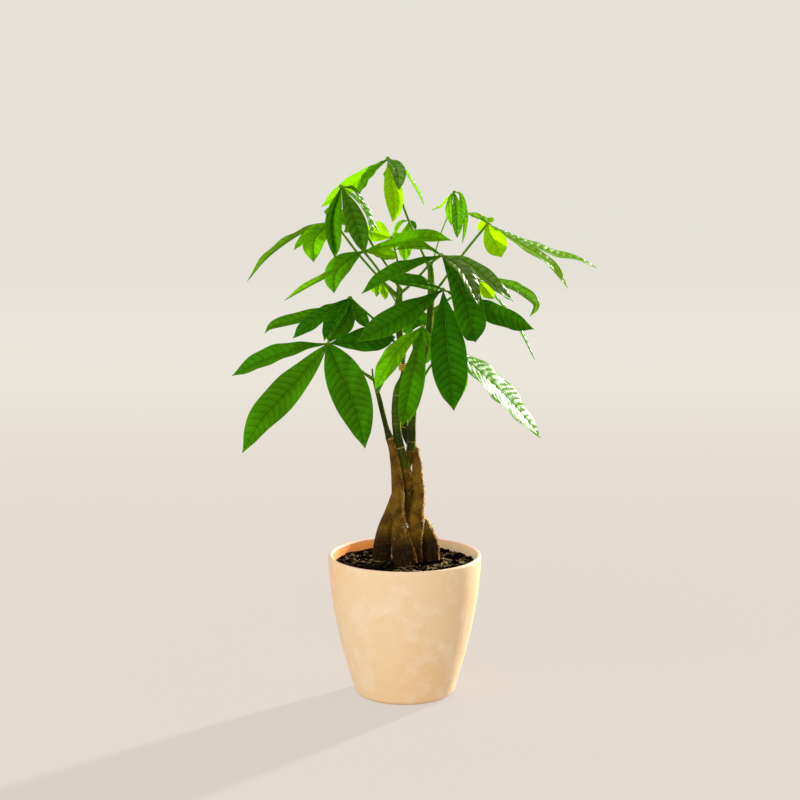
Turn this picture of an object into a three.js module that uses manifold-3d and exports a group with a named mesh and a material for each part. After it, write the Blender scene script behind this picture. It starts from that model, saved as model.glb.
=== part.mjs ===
// A money tree in a tapered pot: four plants braided together while young, tied at the top of the
// braid, with palm-shaped leaves on long stalks, standing in potting mix.
//
// Millimetres, +Z up, -Y towards the viewer. The origin is the middle of the pot's flat underside.
// Each mesh is one piece: the pot, the soil, a trunk with its own green stem, the tie, or one leaf
// with its stalk and leaflets.

import * as THREE from "three";
import { mergeVertices } from "three/addons/utils/BufferGeometryUtils.js";
import Module from "manifold-3d";

const wasm = await Module();
wasm.setup();

// ---------------------------------------------------------------- driving sizes (mm, degrees)

const GAP = 0.3; // air left between two pieces that touch

const POT_HEIGHT = 159;
const POT_RIM_RADIUS = 85;
const POT_WALL = 5;
const POT_FOOT_RADIUS = 48; // the flat part of the underside
const POT_FOOT_ROUND = 9; // radius of the rounded bottom edge
const POT_WAIST = { radius: 83.1, height: 90 }; // where the wall's two end tangents would meet
const POT_FLOOR = 8;
const POT_SIDES = 36;
const WALL_STEPS = 5;
const DRAIN_HOLES = 3;
const DRAIN_RADIUS = 6;
const DRAIN_RING = 28; // how far the drain holes lie from the middle
const DRAIN_SIDES = 12;

const SOIL_BELOW_RIM = 11;
const SOIL_MOUND = 3; // how much higher the soil is round the trunks
const SOIL_LUMP = 1.6; // height of the lumps of its top

const LEAF_THICK = 0.8;
const RIB_DEPTH = 0.7; // how far the midrib stands out below the blade
const STALK_RADIUS = 1.5;
const STALK_FOOT_RADIUS = 2.4; // the swollen joint where a stalk meets its stem
const HUB_RADIUS = 2.6; // the knuckle that a leaf's leaflets grow from
const YOUNG = 0.55; // a young leaf's stalk and hub are this much of a grown one's

// ---------------------------------------------------------------- places read off the photograph

// A place on the plant is held as [u, v, back]: the pixel where it shows in the photograph, u to
// the right and v down, and how far back it lies in mm, minus being nearer the viewer.
const VIEW = {
  focal: 2142, // pixels
  middle: 400, // pixel of the picture's middle, both ways
  pitch: THREE.MathUtils.degToRad(9.7), // looks down by this much
  eye: new THREE.Vector3(-5.2, -2320, 729),
};

function at([u, v, back]) {
  const right = (u - VIEW.middle) / VIEW.focal;
  const up = (VIEW.middle - v) / VIEW.focal;
  const forward = Math.cos(VIEW.pitch) + up * Math.sin(VIEW.pitch);
  const rise = up * Math.cos(VIEW.pitch) - Math.sin(VIEW.pitch);
  const reach = (back - VIEW.eye.y) / forward;
  return new THREE.Vector3(VIEW.eye.x + right * reach, back, VIEW.eye.z + rise * reach);
}

// ---------------------------------------------------------------- solids

function solid(positions, triangles) {
  const vertProperties = Float32Array.from(positions);
  const triVerts = Uint32Array.from(triangles);
  return new wasm.Manifold(new wasm.Mesh({ numProp: 3, vertProperties, triVerts }));
}

// A skin over rings of equal length, closed at each end by a fan to the points first and last.
// The second half of each ring is split the other way, so a thin blade's two faces match.
function loft(rings, first, last) {
  const sides = rings[0].length;
  const corner = (ring, side) => 1 + ring * sides + (side % sides);
  const end = 1 + rings.length * sides;
  const triangles = [];
  for (let side = 0; side < sides; side++) {
    triangles.push(0, corner(0, side + 1), corner(0, side));
    triangles.push(end, corner(rings.length - 1, side), corner(rings.length - 1, side + 1));
  }
  for (let ring = 0; ring + 1 < rings.length; ring++) {
    for (let side = 0; side < sides; side++) {
      const [a, b] = [corner(ring, side), corner(ring, side + 1)];
      const [c, d] = [corner(ring + 1, side), corner(ring + 1, side + 1)];
      if (side < sides / 2) triangles.push(a, b, d, a, d, c);
      else triangles.push(a, b, c, b, d, c);
    }
  }
  return solid([first, ...rings.flat(), last].flatMap((p) => [p.x, p.y, p.z]), triangles);
}

// The solid of one of three.js's closed geometries, without its seams and its collapsed triangles.
function solidOf(geometry) {
  const bare = new THREE.BufferGeometry().setAttribute("position", geometry.getAttribute("position"));
  bare.setIndex(geometry.index);
  const merged = mergeVertices(bare, 1e-4);
  const triangles = [];
  for (let i = 0; i < merged.index.count; i += 3) {
    const [a, b, c] = merged.index.array.slice(i, i + 3);
    if (a !== b && b !== c && c !== a) triangles.push(a, b, c);
  }
  return solid(merged.attributes.position.array, triangles);
}

// The largest body of a solid: a cut can leave a loose scrap, which is dropped.
function whole(cut) {
  return cut.decompose().reduce((most, body) => (body.volume() > most.volume() ? body : most));
}

function piece(name, body, look) {
  const { numProp, vertProperties, triVerts } = body.getMesh();
  const geometry = new THREE.BufferGeometry();
  const positions = new Float32Array((vertProperties.length / numProp) * 3);
  for (let i = 0; i * numProp < vertProperties.length; i++) {
    positions.set(vertProperties.subarray(i * numProp, i * numProp + 3), i * 3);
  }
  geometry.setAttribute("position", new THREE.BufferAttribute(positions, 3));
  geometry.setIndex(new THREE.BufferAttribute(triVerts, 1));
  geometry.computeVertexNormals();
  const mesh = new THREE.Mesh(geometry, look);
  mesh.name = name;
  return mesh;
}

// ---------------------------------------------------------------- looks

const look = (color, roughness) => new THREE.MeshStandardMaterial({ color, roughness, metalness: 0 });
const CLAY = look(0xe9c795, 0.55);
const SOIL = look(0x2b2117, 0.95);
const BARK = look(0x7a6238, 0.8);
const TWINE = look(0xc9a23c, 0.8);
const GREEN = look(0x2f6b12, 0.4);
const LIME = look(0x8fc21a, 0.4);

// ---------------------------------------------------------------- pot

// The inside of the pot, from its floor up to its rim, is the outside moved in by the wall.
const wallCurve = (inset, bottom) =>
  new THREE.QuadraticBezierCurve(
    new THREE.Vector2(POT_FOOT_RADIUS + POT_FOOT_ROUND - inset, bottom),
    new THREE.Vector2(POT_WAIST.radius - inset, POT_WAIST.height),
    new THREE.Vector2(POT_RIM_RADIUS - inset, POT_HEIGHT - POT_WALL / 2),
  );

function pot() {
  const arc = (x, y, radius, from, to, steps) =>
    new THREE.EllipseCurve(x, y, radius, radius, from, to, from > to).getPoints(steps);
  const half = POT_WALL / 2;
  const points = [
    new THREE.Vector2(0, 0),
    ...arc(POT_FOOT_RADIUS, POT_FOOT_ROUND, POT_FOOT_ROUND, -Math.PI / 2, -0.35, 2),
    ...wallCurve(0, POT_FOOT_ROUND).getPoints(WALL_STEPS).slice(1, -1),
    ...arc(POT_RIM_RADIUS - half, POT_HEIGHT - half, half, 0, Math.PI, 3),
    ...wallCurve(POT_WALL, POT_FLOOR).getPoints(WALL_STEPS).reverse().slice(1),
    new THREE.Vector2(0, POT_FLOOR),
  ];
  let body = solidOf(new THREE.LatheGeometry(points, POT_SIDES).rotateX(Math.PI / 2));
  for (let hole = 0; hole < DRAIN_HOLES; hole++) {
    const turn = (2 * Math.PI * (hole + 0.25)) / DRAIN_HOLES;
    const drill = new THREE.CylinderGeometry(DRAIN_RADIUS, DRAIN_RADIUS, 4 * POT_FLOOR, DRAIN_SIDES);
    drill.rotateX(Math.PI / 2);
    drill.translate(DRAIN_RING * Math.cos(turn), DRAIN_RING * Math.sin(turn), 0);
    body = body.subtract(solidOf(drill));
  }
  return body;
}

// ---------------------------------------------------------------- soil

// The lumps of the soil's top, as waves of a few sizes and directions laid over each other.
function soilHeight(x, y) {
  const waves = [
    [0.11, 0.05, 0.4],
    [-0.07, 0.13, 1.9],
    [0.19, -0.16, 3.1],
    [0.05, 0.27, 4.4],
  ];
  const lumps = waves.reduce((sum, [a, b, c]) => sum + Math.sin(a * x + b * y + c), 0) / waves.length;
  const mound = SOIL_MOUND * Math.exp(-((Math.hypot(x, y) / 38) ** 2));
  return POT_HEIGHT - SOIL_BELOW_RIM + mound + SOIL_LUMP * lumps;
}

function soil() {
  const wall = wallCurve(POT_WALL + GAP, POT_FLOOR);
  const ring = (radius, height) =>
    Array.from({ length: POT_SIDES }, (_, i) => {
      const turn = (2 * Math.PI * i) / POT_SIDES;
      const [x, y] = [radius * Math.cos(turn), radius * Math.sin(turn)];
      return new THREE.Vector3(x, y, height ?? soilHeight(x, y));
    });
  const shelf = wall.getPoints(WALL_STEPS).filter((p) => p.y < POT_HEIGHT - SOIL_BELOW_RIM - 2 * SOIL_LUMP);
  const edge = POT_RIM_RADIUS - POT_WALL - 2 * GAP - 0.6;
  const rings = [
    ...shelf.map((p) => ring(p.x, Math.max(p.y, POT_FLOOR + GAP))),
    ...[edge, 64, 46, 28, 12].map((radius) => ring(radius)),
  ];
  const middle = new THREE.Vector3(0, 0, soilHeight(0, 0));
  return loft(rings, new THREE.Vector3(0, 0, POT_FLOOR + GAP), middle);
}

// ---------------------------------------------------------------- trunks

// Each trunk from its root up, as [u, v, back, radius], the radius in mm. The four cross behind
// and in front of each other in turn, and each goes on as its own green stem.
const TRUNKS = {
  trunk_front: [
    [405, 612, -4, 5],
    [405, 592, -5, 10],
    [405.5, 568, -7, 14],
    [403.5, 550, -7, 12.6],
    [401, 538, -7, 10.6],
    [399, 525, -6, 8.4],
    [398, 510, -5, 7.2],
    [398, 492, -4, 6.9],
    [396.8, 475, -3, 6.2],
    [395, 460, -3, 5.6],
    [393, 447, -4, 5.1],
    [389.8, 438, -6, 4.4],
    [386.5, 428, -7, 3],
    [380.5, 404, -8, 2.8],
    [376.5, 389, -9, 2.2],
    [374.2, 382, -9, 1.4],
    [372.8, 376, -9, 1],
    [372.3, 369, -9, 0.9],
  ],
  trunk_right: [
    [434, 600, 14, 4],
    [432, 585, 14, 8],
    [430.5, 560, 12, 11],
    [430, 545, 12, 10.4],
    [427, 529, 13, 9.2],
    [420, 518, 13, 8.8],
    [412.8, 508, 11, 7.6],
    [410, 495, 8, 6.2],
    [408.5, 480, 3, 5.8],
    [405, 465, -2, 5.2],
    [400.8, 450, -5, 4.9],
    [397.6, 436, -5, 4.8],
    [396, 420, -4, 4.7],
    [396, 402, -4, 4.5],
    [398, 388, -4, 4],
    [401.8, 378, -3, 2.7],
    [402.7, 372, -2.6, 2.1],
    [402.8, 361, -2.4, 2.1],
    [401.4, 350, 0, 3],
    [399.4, 332, 4, 3.8],
    [399, 308, 5, 4.1],
    [399.6, 288, 5, 3.4],
  ],
  trunk_middle: [
    [420, 605, 5, 4],
    [418, 588, 3, 6.4],
    [416, 562, -1, 7.6],
    [415, 545, -3, 7.8],
    [415, 528, -5, 9],
    [416, 510, -5, 8.4],
    [418.6, 492, -4, 6.6],
    [417.5, 474, -1, 6],
    [416.5, 460, 3, 5.2],
    [415, 448, 8, 4.6],
    [411, 437, 11, 4.2],
    [405.8, 427, 9, 4.2],
    [404.5, 414, 5, 3.6],
    [404, 398, 3, 3.2],
    [403.6, 384, 3, 2.8],
    [403, 374, 2.6, 2.1],
    [403, 362, 2.4, 2.1],
    [404, 354, 3, 2.4],
  ],
  trunk_left: [
    [380, 602, 10, 4],
    [381, 588, 11, 8],
    [382, 561, 13, 10.4],
    [383, 545, 13, 9.6],
    [386, 528, 12, 8.6],
    [391, 513, 12, 7.4],
    [396, 499, 12, 6.8],
    [401, 484, 12, 6.2],
    [405.5, 470, 11, 5.4],
    [409.5, 456, 6, 4.9],
    [411.5, 442, 0, 4.8],
    [411.8, 428, -2, 4.6],
    [413, 408, 1, 4.2],
    [418, 385, 7, 3.8],
    [423, 360, 11, 3.8],
    [428.5, 332, 12, 3.8],
    [430.8, 300, 12, 3.9],
    [431, 275, 12, 3.6],
    [430, 263, 12, 2.6],
  ],
};
const TRUNK_SIDES = 8;
const RINGS_PER_SPAN = 2;

// A round stem through the trunk's places, fatter by extra all over.
function stem(places, extra = 0) {
  const path = new THREE.CatmullRomCurve3(places.map(at), false, "centripetal");
  const spans = places.length - 1;
  const count = spans * RINGS_PER_SPAN;
  const frames = path.computeFrenetFrames(count, false);
  const lengths = path.getLengths(200);
  const share = places.map((_, i) => lengths[Math.round((200 * i) / spans)] / lengths[200]);
  const radiusAt = (u) => {
    const span = Math.min(spans - 1, share.findLastIndex((s) => s <= u));
    const part = (u - share[span]) / (share[span + 1] - share[span]);
    return THREE.MathUtils.lerp(places[span][3], places[span + 1][3], part) + extra;
  };
  const rings = frames.tangents.map((_, i) => {
    const centre = path.getPointAt(i / count);
    return Array.from({ length: TRUNK_SIDES }, (_, side) => {
      const turn = (2 * Math.PI * side) / TRUNK_SIDES;
      const radius = radiusAt(i / count);
      return centre
        .clone()
        .addScaledVector(frames.normals[i], radius * Math.cos(turn))
        .addScaledVector(frames.binormals[i], radius * Math.sin(turn));
    });
  });
  const domed = (u, way) => path.getPointAt(u).addScaledVector(path.getTangentAt(u), way * radiusAt(u) * 0.6);
  return loft(rings, domed(0, -1), domed(1, 1));
}

// ---------------------------------------------------------------- tie

// A band wound three times round the two stems that meet at the top of the braid.
const TIE = { place: [402.8, 367, 0], height: 10, wide: 3.2, deep: 5.6, thick: 1, turns: 3 };

function tie() {
  const sides = 12;
  const middle = at(TIE.place);
  const ring = (grow, height) =>
    Array.from({ length: sides }, (_, i) => {
      const turn = (2 * Math.PI * i) / sides;
      return new THREE.Vector3(
        middle.x + (TIE.wide + grow) * Math.cos(turn),
        middle.y + (TIE.deep + grow) * Math.sin(turn),
        middle.z + height,
      );
    });
  const levels = TIE.turns * 3;
  const rings = Array.from({ length: levels + 1 }, (_, i) => {
    const bulge = Math.abs(Math.sin((Math.PI * TIE.turns * i) / levels));
    return ring(TIE.thick * (0.45 + 0.55 * bulge), TIE.height * (i / levels - 0.5));
  });
  const end = (way) => middle.clone().setZ(middle.z + (way * TIE.height) / 2);
  const bore = loft([ring(0, -TIE.height), ring(0, TIE.height)], end(-3), end(3));
  return loft(rings, end(-1), end(1)).subtract(bore);
}

// ---------------------------------------------------------------- leaves

// Each leaf hangs on a stem by a stalk. stalk: places from the middle of the stem outwards. hub:
// where its leaflets meet. A leaflet has its real width, the places its midrib runs through, tip
// last, and turn: 0 shows its broad side to the viewer, plus tips its upper face up, or to the
// right where it hangs straight. fold is how far each half rises from flat, and widest how far
// along the leaflet is broadest, where it isn't WIDEST.
const LEAVES = {
  leaf_low_left: {
    on: "trunk_front",
    stalk: [[373, 379, -9], [364, 373, -16], [346, 356, -34]],
    hub: [328.5, 343.5, -45],
    leaflets: [
      { width: 27, turn: 42, spine: [[304, 347.5, -46], [269, 358, -44], [231.5, 376.2, -40]] },
      { width: 38, turn: 22, widest: 0.53, spine: [[291.5, 388, -64], [261, 421.5, -72], [242, 453.5, -75]] },
      { width: 44, turn: 6, widest: 0.46, spine: [[348, 388, -66], [359.5, 422, -72], [365.3, 449, -75]] },
      { width: 29, turn: 12, spine: [[363, 340.5, -40], [396, 337, -24]] },
      { width: 26, turn: 5, spine: [[333, 332, -16], [339, 328, 14]] },
    ],
  },
  leaf_left: {
    on: "trunk_right",
    stalk: [[400, 352, 5], [392, 339, -4], [375, 320, -18], [360, 307, -25]],
    hub: [350, 298, -28],
    leaflets: [
      {
        width: 22, turn: 52, widest: 0.66,
        spine: [[326, 310, -27], [288, 322.5, -26], [271, 327, -22], [264.3, 334, -20]],
      },
      { width: 24, turn: 40, spine: [[321, 317, -46], [292.5, 338.5, -54]] },
      { width: 26, turn: 45, spine: [[337, 317, -60], [324, 341, -76]] },
      { width: 24, turn: 25, spine: [[345, 318, -50], [332, 341, -58]] },
      { width: 18, turn: 35, spine: [[359, 316, -46], [369, 329, -50]] },
    ],
  },
  leaf_upper_left_back: {
    on: "trunk_right",
    stalk: [[399, 297, 5], [376, 274, 10], [356, 251, 14], [342, 232, 15]],
    hub: [335, 221.5, 15],
    leaflets: [
      { width: 26, turn: 72, spine: [[316, 226, 15], [300, 234, 15], [269, 256.5, 18], [247, 281.5, 20]] },
      { width: 17, turn: 50, spine: [[310, 235, -2], [293.5, 250.5, -10]] },
      { width: 27, turn: 15, spine: [[315, 240, -14], [313.5, 262.5, -25]] },
      { width: 20, turn: 20, spine: [[344, 222, 30], [352, 231, 42]] },
      { width: 26, turn: 0, spine: [[335, 214, 60], [336, 216, 96]] },
    ],
  },
  leaf_upper_left: {
    on: "trunk_right",
    stalk: [[399.5, 288, 5], [388, 267, 0], [373, 246, -10], [356, 213, -28]],
    hub: [341, 186.5, -40],
    leaflets: [
      { width: 34, turn: 12, fold: 58, spine: [[331, 222, -58], [335, 259, -62]] },
      { width: 23, turn: 15, spine: [[353, 216, -60], [365, 254, -68]] },
      { width: 22, turn: 80, spine: [[354, 190, -26], [363, 209, -18], [379.5, 233, -16]] },
      { width: 22, turn: 72, spine: [[359, 203, -46], [368, 219, -50], [371.5, 238, -50]] },
    ],
  },
  leaf_top: {
    on: "trunk_left",
    stalk: [[430, 268, 12], [424, 256, 9], [412, 229, 3], [398, 191, -2]],
    hub: [388, 158.5, -5],
    leaflets: [
      { width: 21, turn: 30, spine: [[356.5, 182.5, 26], [321, 207, 48]] },
      { width: 24, turn: 62, spine: [[372, 174.5, 8], [357, 196, 18]] },
      { width: 21, turn: 10, spine: [[392.5, 189, -28], [394.5, 210, -34], [392, 223, -38]] },
      { width: 19, turn: 25, spine: [[397, 171, -44], [399, 190.5, -60]] },
      { width: 18, turn: 84, spine: [[405, 172, -4], [414.5, 187, -3], [424.5, 205.5, -2]] },
      { width: 22, turn: 0, spine: [[392, 168, 28], [394, 186, 52]] },
    ],
  },
  young_leaf_top: {
    on: "trunk_left",
    young: true,
    stalk: [[430.8, 280, 12], [424, 256, 24]],
    hub: [409.5, 220.5, 18],
    leaflets: [
      { width: 7, turn: 40, spine: [[402, 222, 16], [397.5, 227.5, 15], [395, 236, 12]] },
      { width: 17, turn: 10, spine: [[405, 240, 12], [405, 262, 10]] },
      { width: 6, turn: 30, spine: [[413, 223, 14], [415.5, 230, 10]] },
    ],
  },
  leaf_upper_back: {
    on: "trunk_right",
    stalk: [[399.3, 300, 5], [399, 285, 16], [398, 264, 26]],
    hub: [392, 238, 40],
    leaflets: [
      { width: 27, turn: 20, spine: [[380, 234, 44], [365, 229, 46]] },
      { width: 16, turn: 20, spine: [[388, 247, 30], [385, 254, 24]] },
      { width: 16, turn: 60, spine: [[402, 238, 54], [411, 242, 66]] },
      { width: 22, turn: 0, spine: [[394, 240, 70], [396, 248, 98]] },
    ],
  },
  leaf_centre_left: {
    on: "trunk_right",
    stalk: [[399, 299, 5], [387, 287, -8], [379, 271, -22]],
    hub: [363.5, 251, -35],
    leaflets: [
      { width: 25, turn: 15, spine: [[345, 262.5, -50], [334.5, 276.5, -56], [334, 293.5, -60]] },
      { width: 24, turn: 72, spine: [[338, 270.5, -36], [312, 285, -31], [284, 300.8, -28]] },
      { width: 22, turn: 42, spine: [[379, 253.5, -26], [398, 257, -20]] },
      { width: 24, turn: 46, spine: [[392, 244.5, -40], [425, 237.5, -48], [452.5, 240.5, -50]] },
    ],
  },
  young_leaf_centre: {
    on: "trunk_right",
    young: true,
    stalk: [[399, 307, 5], [391, 294, 5]],
    hub: [381, 281, 3],
    leaflets: [
      { width: 9, turn: 20, spine: [[375, 285, 0], [373, 293, -2]] },
      { width: 8, turn: 20, spine: [[378, 290, -6], [376.5, 297, -9]] },
      { width: 9, turn: 10, spine: [[384, 291, 0], [385.5, 300, -1]] },
    ],
  },
  leaf_centre: {
    on: "trunk_right",
    stalk: [[399, 294, 5], [408, 287, -2], [420, 275, -12], [431, 263, -36]],
    hub: [441.5, 255, -57],
    leaflets: [
      { width: 20, turn: 60, spine: [[423, 247.5, -66], [395.5, 249.5, -70]] },
      { width: 25, turn: 50, spine: [[418, 263.5, -72], [389, 275.5, -82], [361, 294, -84]] },
      { width: 34, turn: 10, spine: [[462.5, 291, -76], [472, 325, -82], [475.5, 342.5, -62]] },
      { width: 26, turn: 50, spine: [[463, 273, -92], [479, 306.5, -104]] },
      { width: 24, turn: 50, spine: [[465, 262, -56], [489, 281, -48], [513.3, 301.5, -34]] },
      { width: 16, turn: 20, spine: [[450, 263, -40], [458, 285, -24]] },
    ],
  },
  leaf_centre_right: {
    on: "trunk_left",
    stalk: [[430.8, 300, 12], [437, 294, -6]],
    hub: [443, 289.5, -22],
    leaflets: [
      { width: 25, turn: 50, spine: [[417, 283.5, -38], [388, 280, -38]] },
      { width: 33, turn: 28, spine: [[402.5, 317, -56], [355.5, 342.5, -74]] },
      { width: 41, turn: 5, spine: [[447.5, 349, -60], [454, 411.5, -58]] },
      { width: 32, turn: 42, fold: -8, spine: [[487, 309, -24], [511, 318, -12], [534.5, 329.5, 0]] },
    ],
  },
  leaf_low_front: {
    on: "trunk_front",
    stalk: [[377, 392, -9], [390, 370, -30], [397, 360, -38], [410, 343, -52]],
    hub: [423, 326, -62],
    leaflets: [
      { width: 26, turn: 20, spine: [[412.5, 375, -80], [401.5, 427.5, -78]] },
      { width: 25, turn: 30, spine: [[401, 348, -82], [385, 371, -87], [374.8, 390, -88]] },
      { width: 20, turn: 20, spine: [[416.5, 374, -56], [408.5, 424, -48]] },
      { width: 9, turn: 20, spine: [[427, 337, -70], [428.5, 348, -72]] },
    ],
  },
  leaf_low_right: {
    on: "trunk_left",
    stalk: [[415.5, 397, 6], [426, 373, 2], [436, 359, 4]],
    hub: [447, 345, 8],
    leaflets: [
      {
        width: 51, turn: 60, fold: 4, widest: 0.5,
        spine: [[476, 369, 8], [497, 388, 12], [519, 411, 17], [541.3, 438.5, 24]],
      },
      { width: 17, turn: 15, spine: [[457, 366, 2], [465, 392, 4]] },
      { width: 17, turn: 15, spine: [[454, 339, 44], [460, 333, 76]] },
      { width: 22, turn: 25, spine: [[443, 353, 44], [439, 368, 66]] },
      { width: 20, turn: 10, spine: [[448, 372, 18], [449, 395, 26]] },
    ],
  },
  leaf_right_young: {
    on: "trunk_left",
    stalk: [[430, 312, 12], [452, 297, 30]],
    hub: [477, 279.5, 38],
    leaflets: [
      { width: 18, turn: 10, spine: [[485, 289, 36], [494, 299, 32]] },
      { width: 14, turn: 30, spine: [[474, 287, 28], [473, 297, 22]] },
      {
        width: 16, turn: 40,
        spine: [[492, 280.5, 42], [518, 289.5, 44], [535.5, 304.5, 43], [529.5, 317, 40]],
      },
      { width: 16, turn: 80, spine: [[498, 300, 38], [518, 328, 28], [535.3, 361, 18]] },
    ],
  },
  young_leaf_upper_right: {
    on: "trunk_left",
    young: true,
    stalk: [[430.5, 270, 12], [436, 250, 6], [441, 233, 2], [448, 215, -2]],
    hub: [454, 191.5, -5],
    leaflets: [
      { width: 9, turn: 20, spine: [[450.5, 197, -8], [449.5, 209, -9], [451.5, 226, -9]] },
      { width: 13, turn: 15, spine: [[456, 203, -14], [457, 222, -16], [457, 238.5, -16]] },
      { width: 10, turn: 20, spine: [[460, 194, -4], [462, 206, -4], [460.5, 227, -4]] },
      { width: 8, turn: 50, spine: [[461.5, 195, 2], [465, 212, 4], [462.5, 244, 4]] },
      { width: 6, turn: 60, spine: [[447, 199.5, -2], [442, 206, -2], [431, 210.5, -2]] },
    ],
  },
  leaf_upper_right: {
    on: "trunk_left",
    stalk: [[431, 297, 12], [441, 284, 6], [457, 262, 2], [475, 239, -2]],
    hub: [488, 223.5, -5],
    leaflets: [
      { width: 27, turn: 10, widest: 0.62, spine: [[490.5, 233, -14], [501.5, 257.5, -18]] },
      { width: 12, turn: 10, spine: [[483.5, 225.5, 8], [477.5, 230, 14]] },
      { width: 13, turn: 20, spine: [[488.3, 220, 3], [487.5, 218, 12]] },
      { width: 11, turn: 50, spine: [[478, 217.5, 6], [467, 213, 12]] },
      {
        width: 22, turn: 66, fold: 10,
        spine: [[512, 236.5, 6], [556, 254.5, 24], [580, 260, 33], [597.5, 268.5, 42]],
      },
      { width: 22, turn: 60, fold: 10, spine: [[514, 241, -2], [551, 265, 2], [568.3, 289, 12]] },
    ],
  },
  leaf_back_high: {
    on: "trunk_right",
    stalk: [[399, 316, 5], [402, 312, 26]],
    hub: [408, 309, 46],
    leaflets: [
      { width: 24, turn: 45, spine: [[395, 315, 66], [380, 324, 76]] },
      { width: 22, turn: 35, spine: [[402, 319, 68], [394, 330, 80]] },
      { width: 22, turn: 0, spine: [[410, 313, 66], [412, 317, 86]] },
      { width: 18, turn: 40, spine: [[419, 304, 62], [430, 299, 72]] },
      { width: 24, turn: 10, spine: [[403, 310, 76], [397, 316, 102]] },
    ],
  },
  leaf_back_low: {
    on: "trunk_left",
    stalk: [[424.5, 352, 11], [429, 340, 44]],
    hub: [436, 326, 80],
    leaflets: [
      { width: 30, turn: 40, spine: [[418, 322, 94], [402, 332, 104]] },
      { width: 34, turn: 30, spine: [[428, 342, 104], [420, 366, 112]] },
      { width: 36, turn: 0, spine: [[438, 322, 124], [441, 338, 150]] },
      { width: 34, turn: 30, spine: [[447, 341, 100], [452, 366, 108]] },
      { width: 30, turn: 40, spine: [[454, 322, 92], [469, 331, 100]] },
    ],
  },
};

const WIDEST = 0.59; // share of the length at which most leaflets are widest

// Half a leaflet's width, as a share of the most: a wedge at the stalk, widest past the middle,
// drawn out to a point.
const outline = (along, widest) => Math.sin(Math.PI * along ** (Math.log(0.5) / Math.log(widest))) ** 0.85;
const STATIONS = [0.06, 0.2, 0.37, 0.55, 0.73, 0.88];
const YOUNG_STATIONS = [0.1, 0.35, 0.62, 0.85];

// The way a leaflet's upper face looks where its midrib runs along.
function facing(along, turn) {
  const viewer = new THREE.Vector3(0, -Math.cos(VIEW.pitch), Math.sin(VIEW.pitch));
  const front = viewer.addScaledVector(along, -viewer.dot(along)).normalize();
  const side = new THREE.Vector3().crossVectors(along, front);
  if (side.z + 0.3 * side.x < 0) side.negate();
  const angle = THREE.MathUtils.degToRad(turn);
  return front.multiplyScalar(Math.cos(angle)).addScaledVector(side, Math.sin(angle));
}

function blade(hub, young, { width, turn, fold = 16, widest = WIDEST, spine }) {
  const rib = new THREE.CatmullRomCurve3([hub, ...spine.map(at)], false, "centripetal");
  const rise = THREE.MathUtils.degToRad(fold);
  const rings = (young ? YOUNG_STATIONS : STATIONS).map((share) => {
    const centre = rib.getPointAt(share);
    const along = rib.getTangentAt(share);
    const up = facing(along, turn);
    const across = new THREE.Vector3().crossVectors(along, up);
    const half = (width / 2) * outline(share, widest);
    const corner = (side, height) =>
      centre
        .clone()
        .addScaledVector(across, side * half * Math.cos(rise))
        .addScaledVector(up, Math.abs(side) * half * Math.sin(rise) + height);
    const skin = LEAF_THICK / 2;
    return [
      corner(-1, skin),
      corner(0, skin),
      corner(1, skin),
      corner(1, -skin),
      corner(0, -skin - RIB_DEPTH),
      corner(-1, -skin),
    ];
  });
  return loft(rings, hub, rib.getPointAt(1));
}

function stalk(places, size) {
  const path = new THREE.CatmullRomCurve3(places, false, "centripetal");
  const count = 2 * (places.length - 1);
  const sides = 5;
  const frames = path.computeFrenetFrames(count, false);
  const rings = frames.tangents.map((_, i) => {
    const centre = path.getPointAt(i / count);
    const foot = Math.exp(-path.getLength() * (i / count) * 0.12);
    const radius = size * THREE.MathUtils.lerp(STALK_RADIUS, STALK_FOOT_RADIUS, foot);
    return Array.from({ length: sides }, (_, side) => {
      const turn = (2 * Math.PI * side) / sides;
      return centre
        .clone()
        .addScaledVector(frames.normals[i], radius * Math.cos(turn))
        .addScaledVector(frames.binormals[i], radius * Math.sin(turn));
    });
  });
  return loft(rings, path.getPointAt(0), path.getPointAt(1));
}

function leaf({ young, stalk: places, hub, leaflets }) {
  const middle = at(hub);
  const size = young ? YOUNG : 1;
  const knuckle = new THREE.IcosahedronGeometry(HUB_RADIUS * size, 0).translate(middle.x, middle.y, middle.z);
  const stem = stalk([...places.map(at), middle], size);
  return leaflets.reduce((body, one) => body.add(blade(middle, young, one)), solidOf(knuckle).add(stem));
}

// ---------------------------------------------------------------- the plant

const plant = new THREE.Group();
plant.name = "potted_money_tree";

// A trunk gives way to the ones before it, as stems that were braided while soft do.
const trunks = {};
for (const [name, places] of Object.entries(TRUNKS)) {
  const clear = (rest, other) => rest.subtract(stem(TRUNKS[other], GAP));
  trunks[name] = whole(Object.keys(trunks).reduce(clear, stem(places)));
}

const hole = (rest, places) => rest.subtract(stem(places, GAP));
plant.add(piece("pot", pot(), CLAY));
plant.add(piece("soil", whole(Object.values(TRUNKS).reduce(hole, soil())), SOIL));
for (const [name, body] of Object.entries(trunks)) plant.add(piece(name, body, BARK));
plant.add(piece("tie", tie(), TWINE));
for (const [name, plan] of Object.entries(LEAVES)) {
  const body = leaf(plan).subtract(stem(TRUNKS[plan.on], GAP));
  plant.add(piece(name, whole(body), plan.young ? LIME : GREEN));
}

export default plant;
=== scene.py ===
# %% [markdown]
# # A money tree in a clay pot
# The plant is four young trees braided together while soft, tied at the top of the braid, with
# palm-shaped leaves on long stalks. The imported model holds every piece at its real size and place,
# so this script only builds the finer skins and finishes. Each one stands where its plain solid
# stands: first the frame is loaded, and its box is kept to print beside the fine one's at the end.

from math import cos, exp, hypot, log, pi, radians, sin, sqrt

import bpy
import numpy as np
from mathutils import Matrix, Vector, noise


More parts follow.
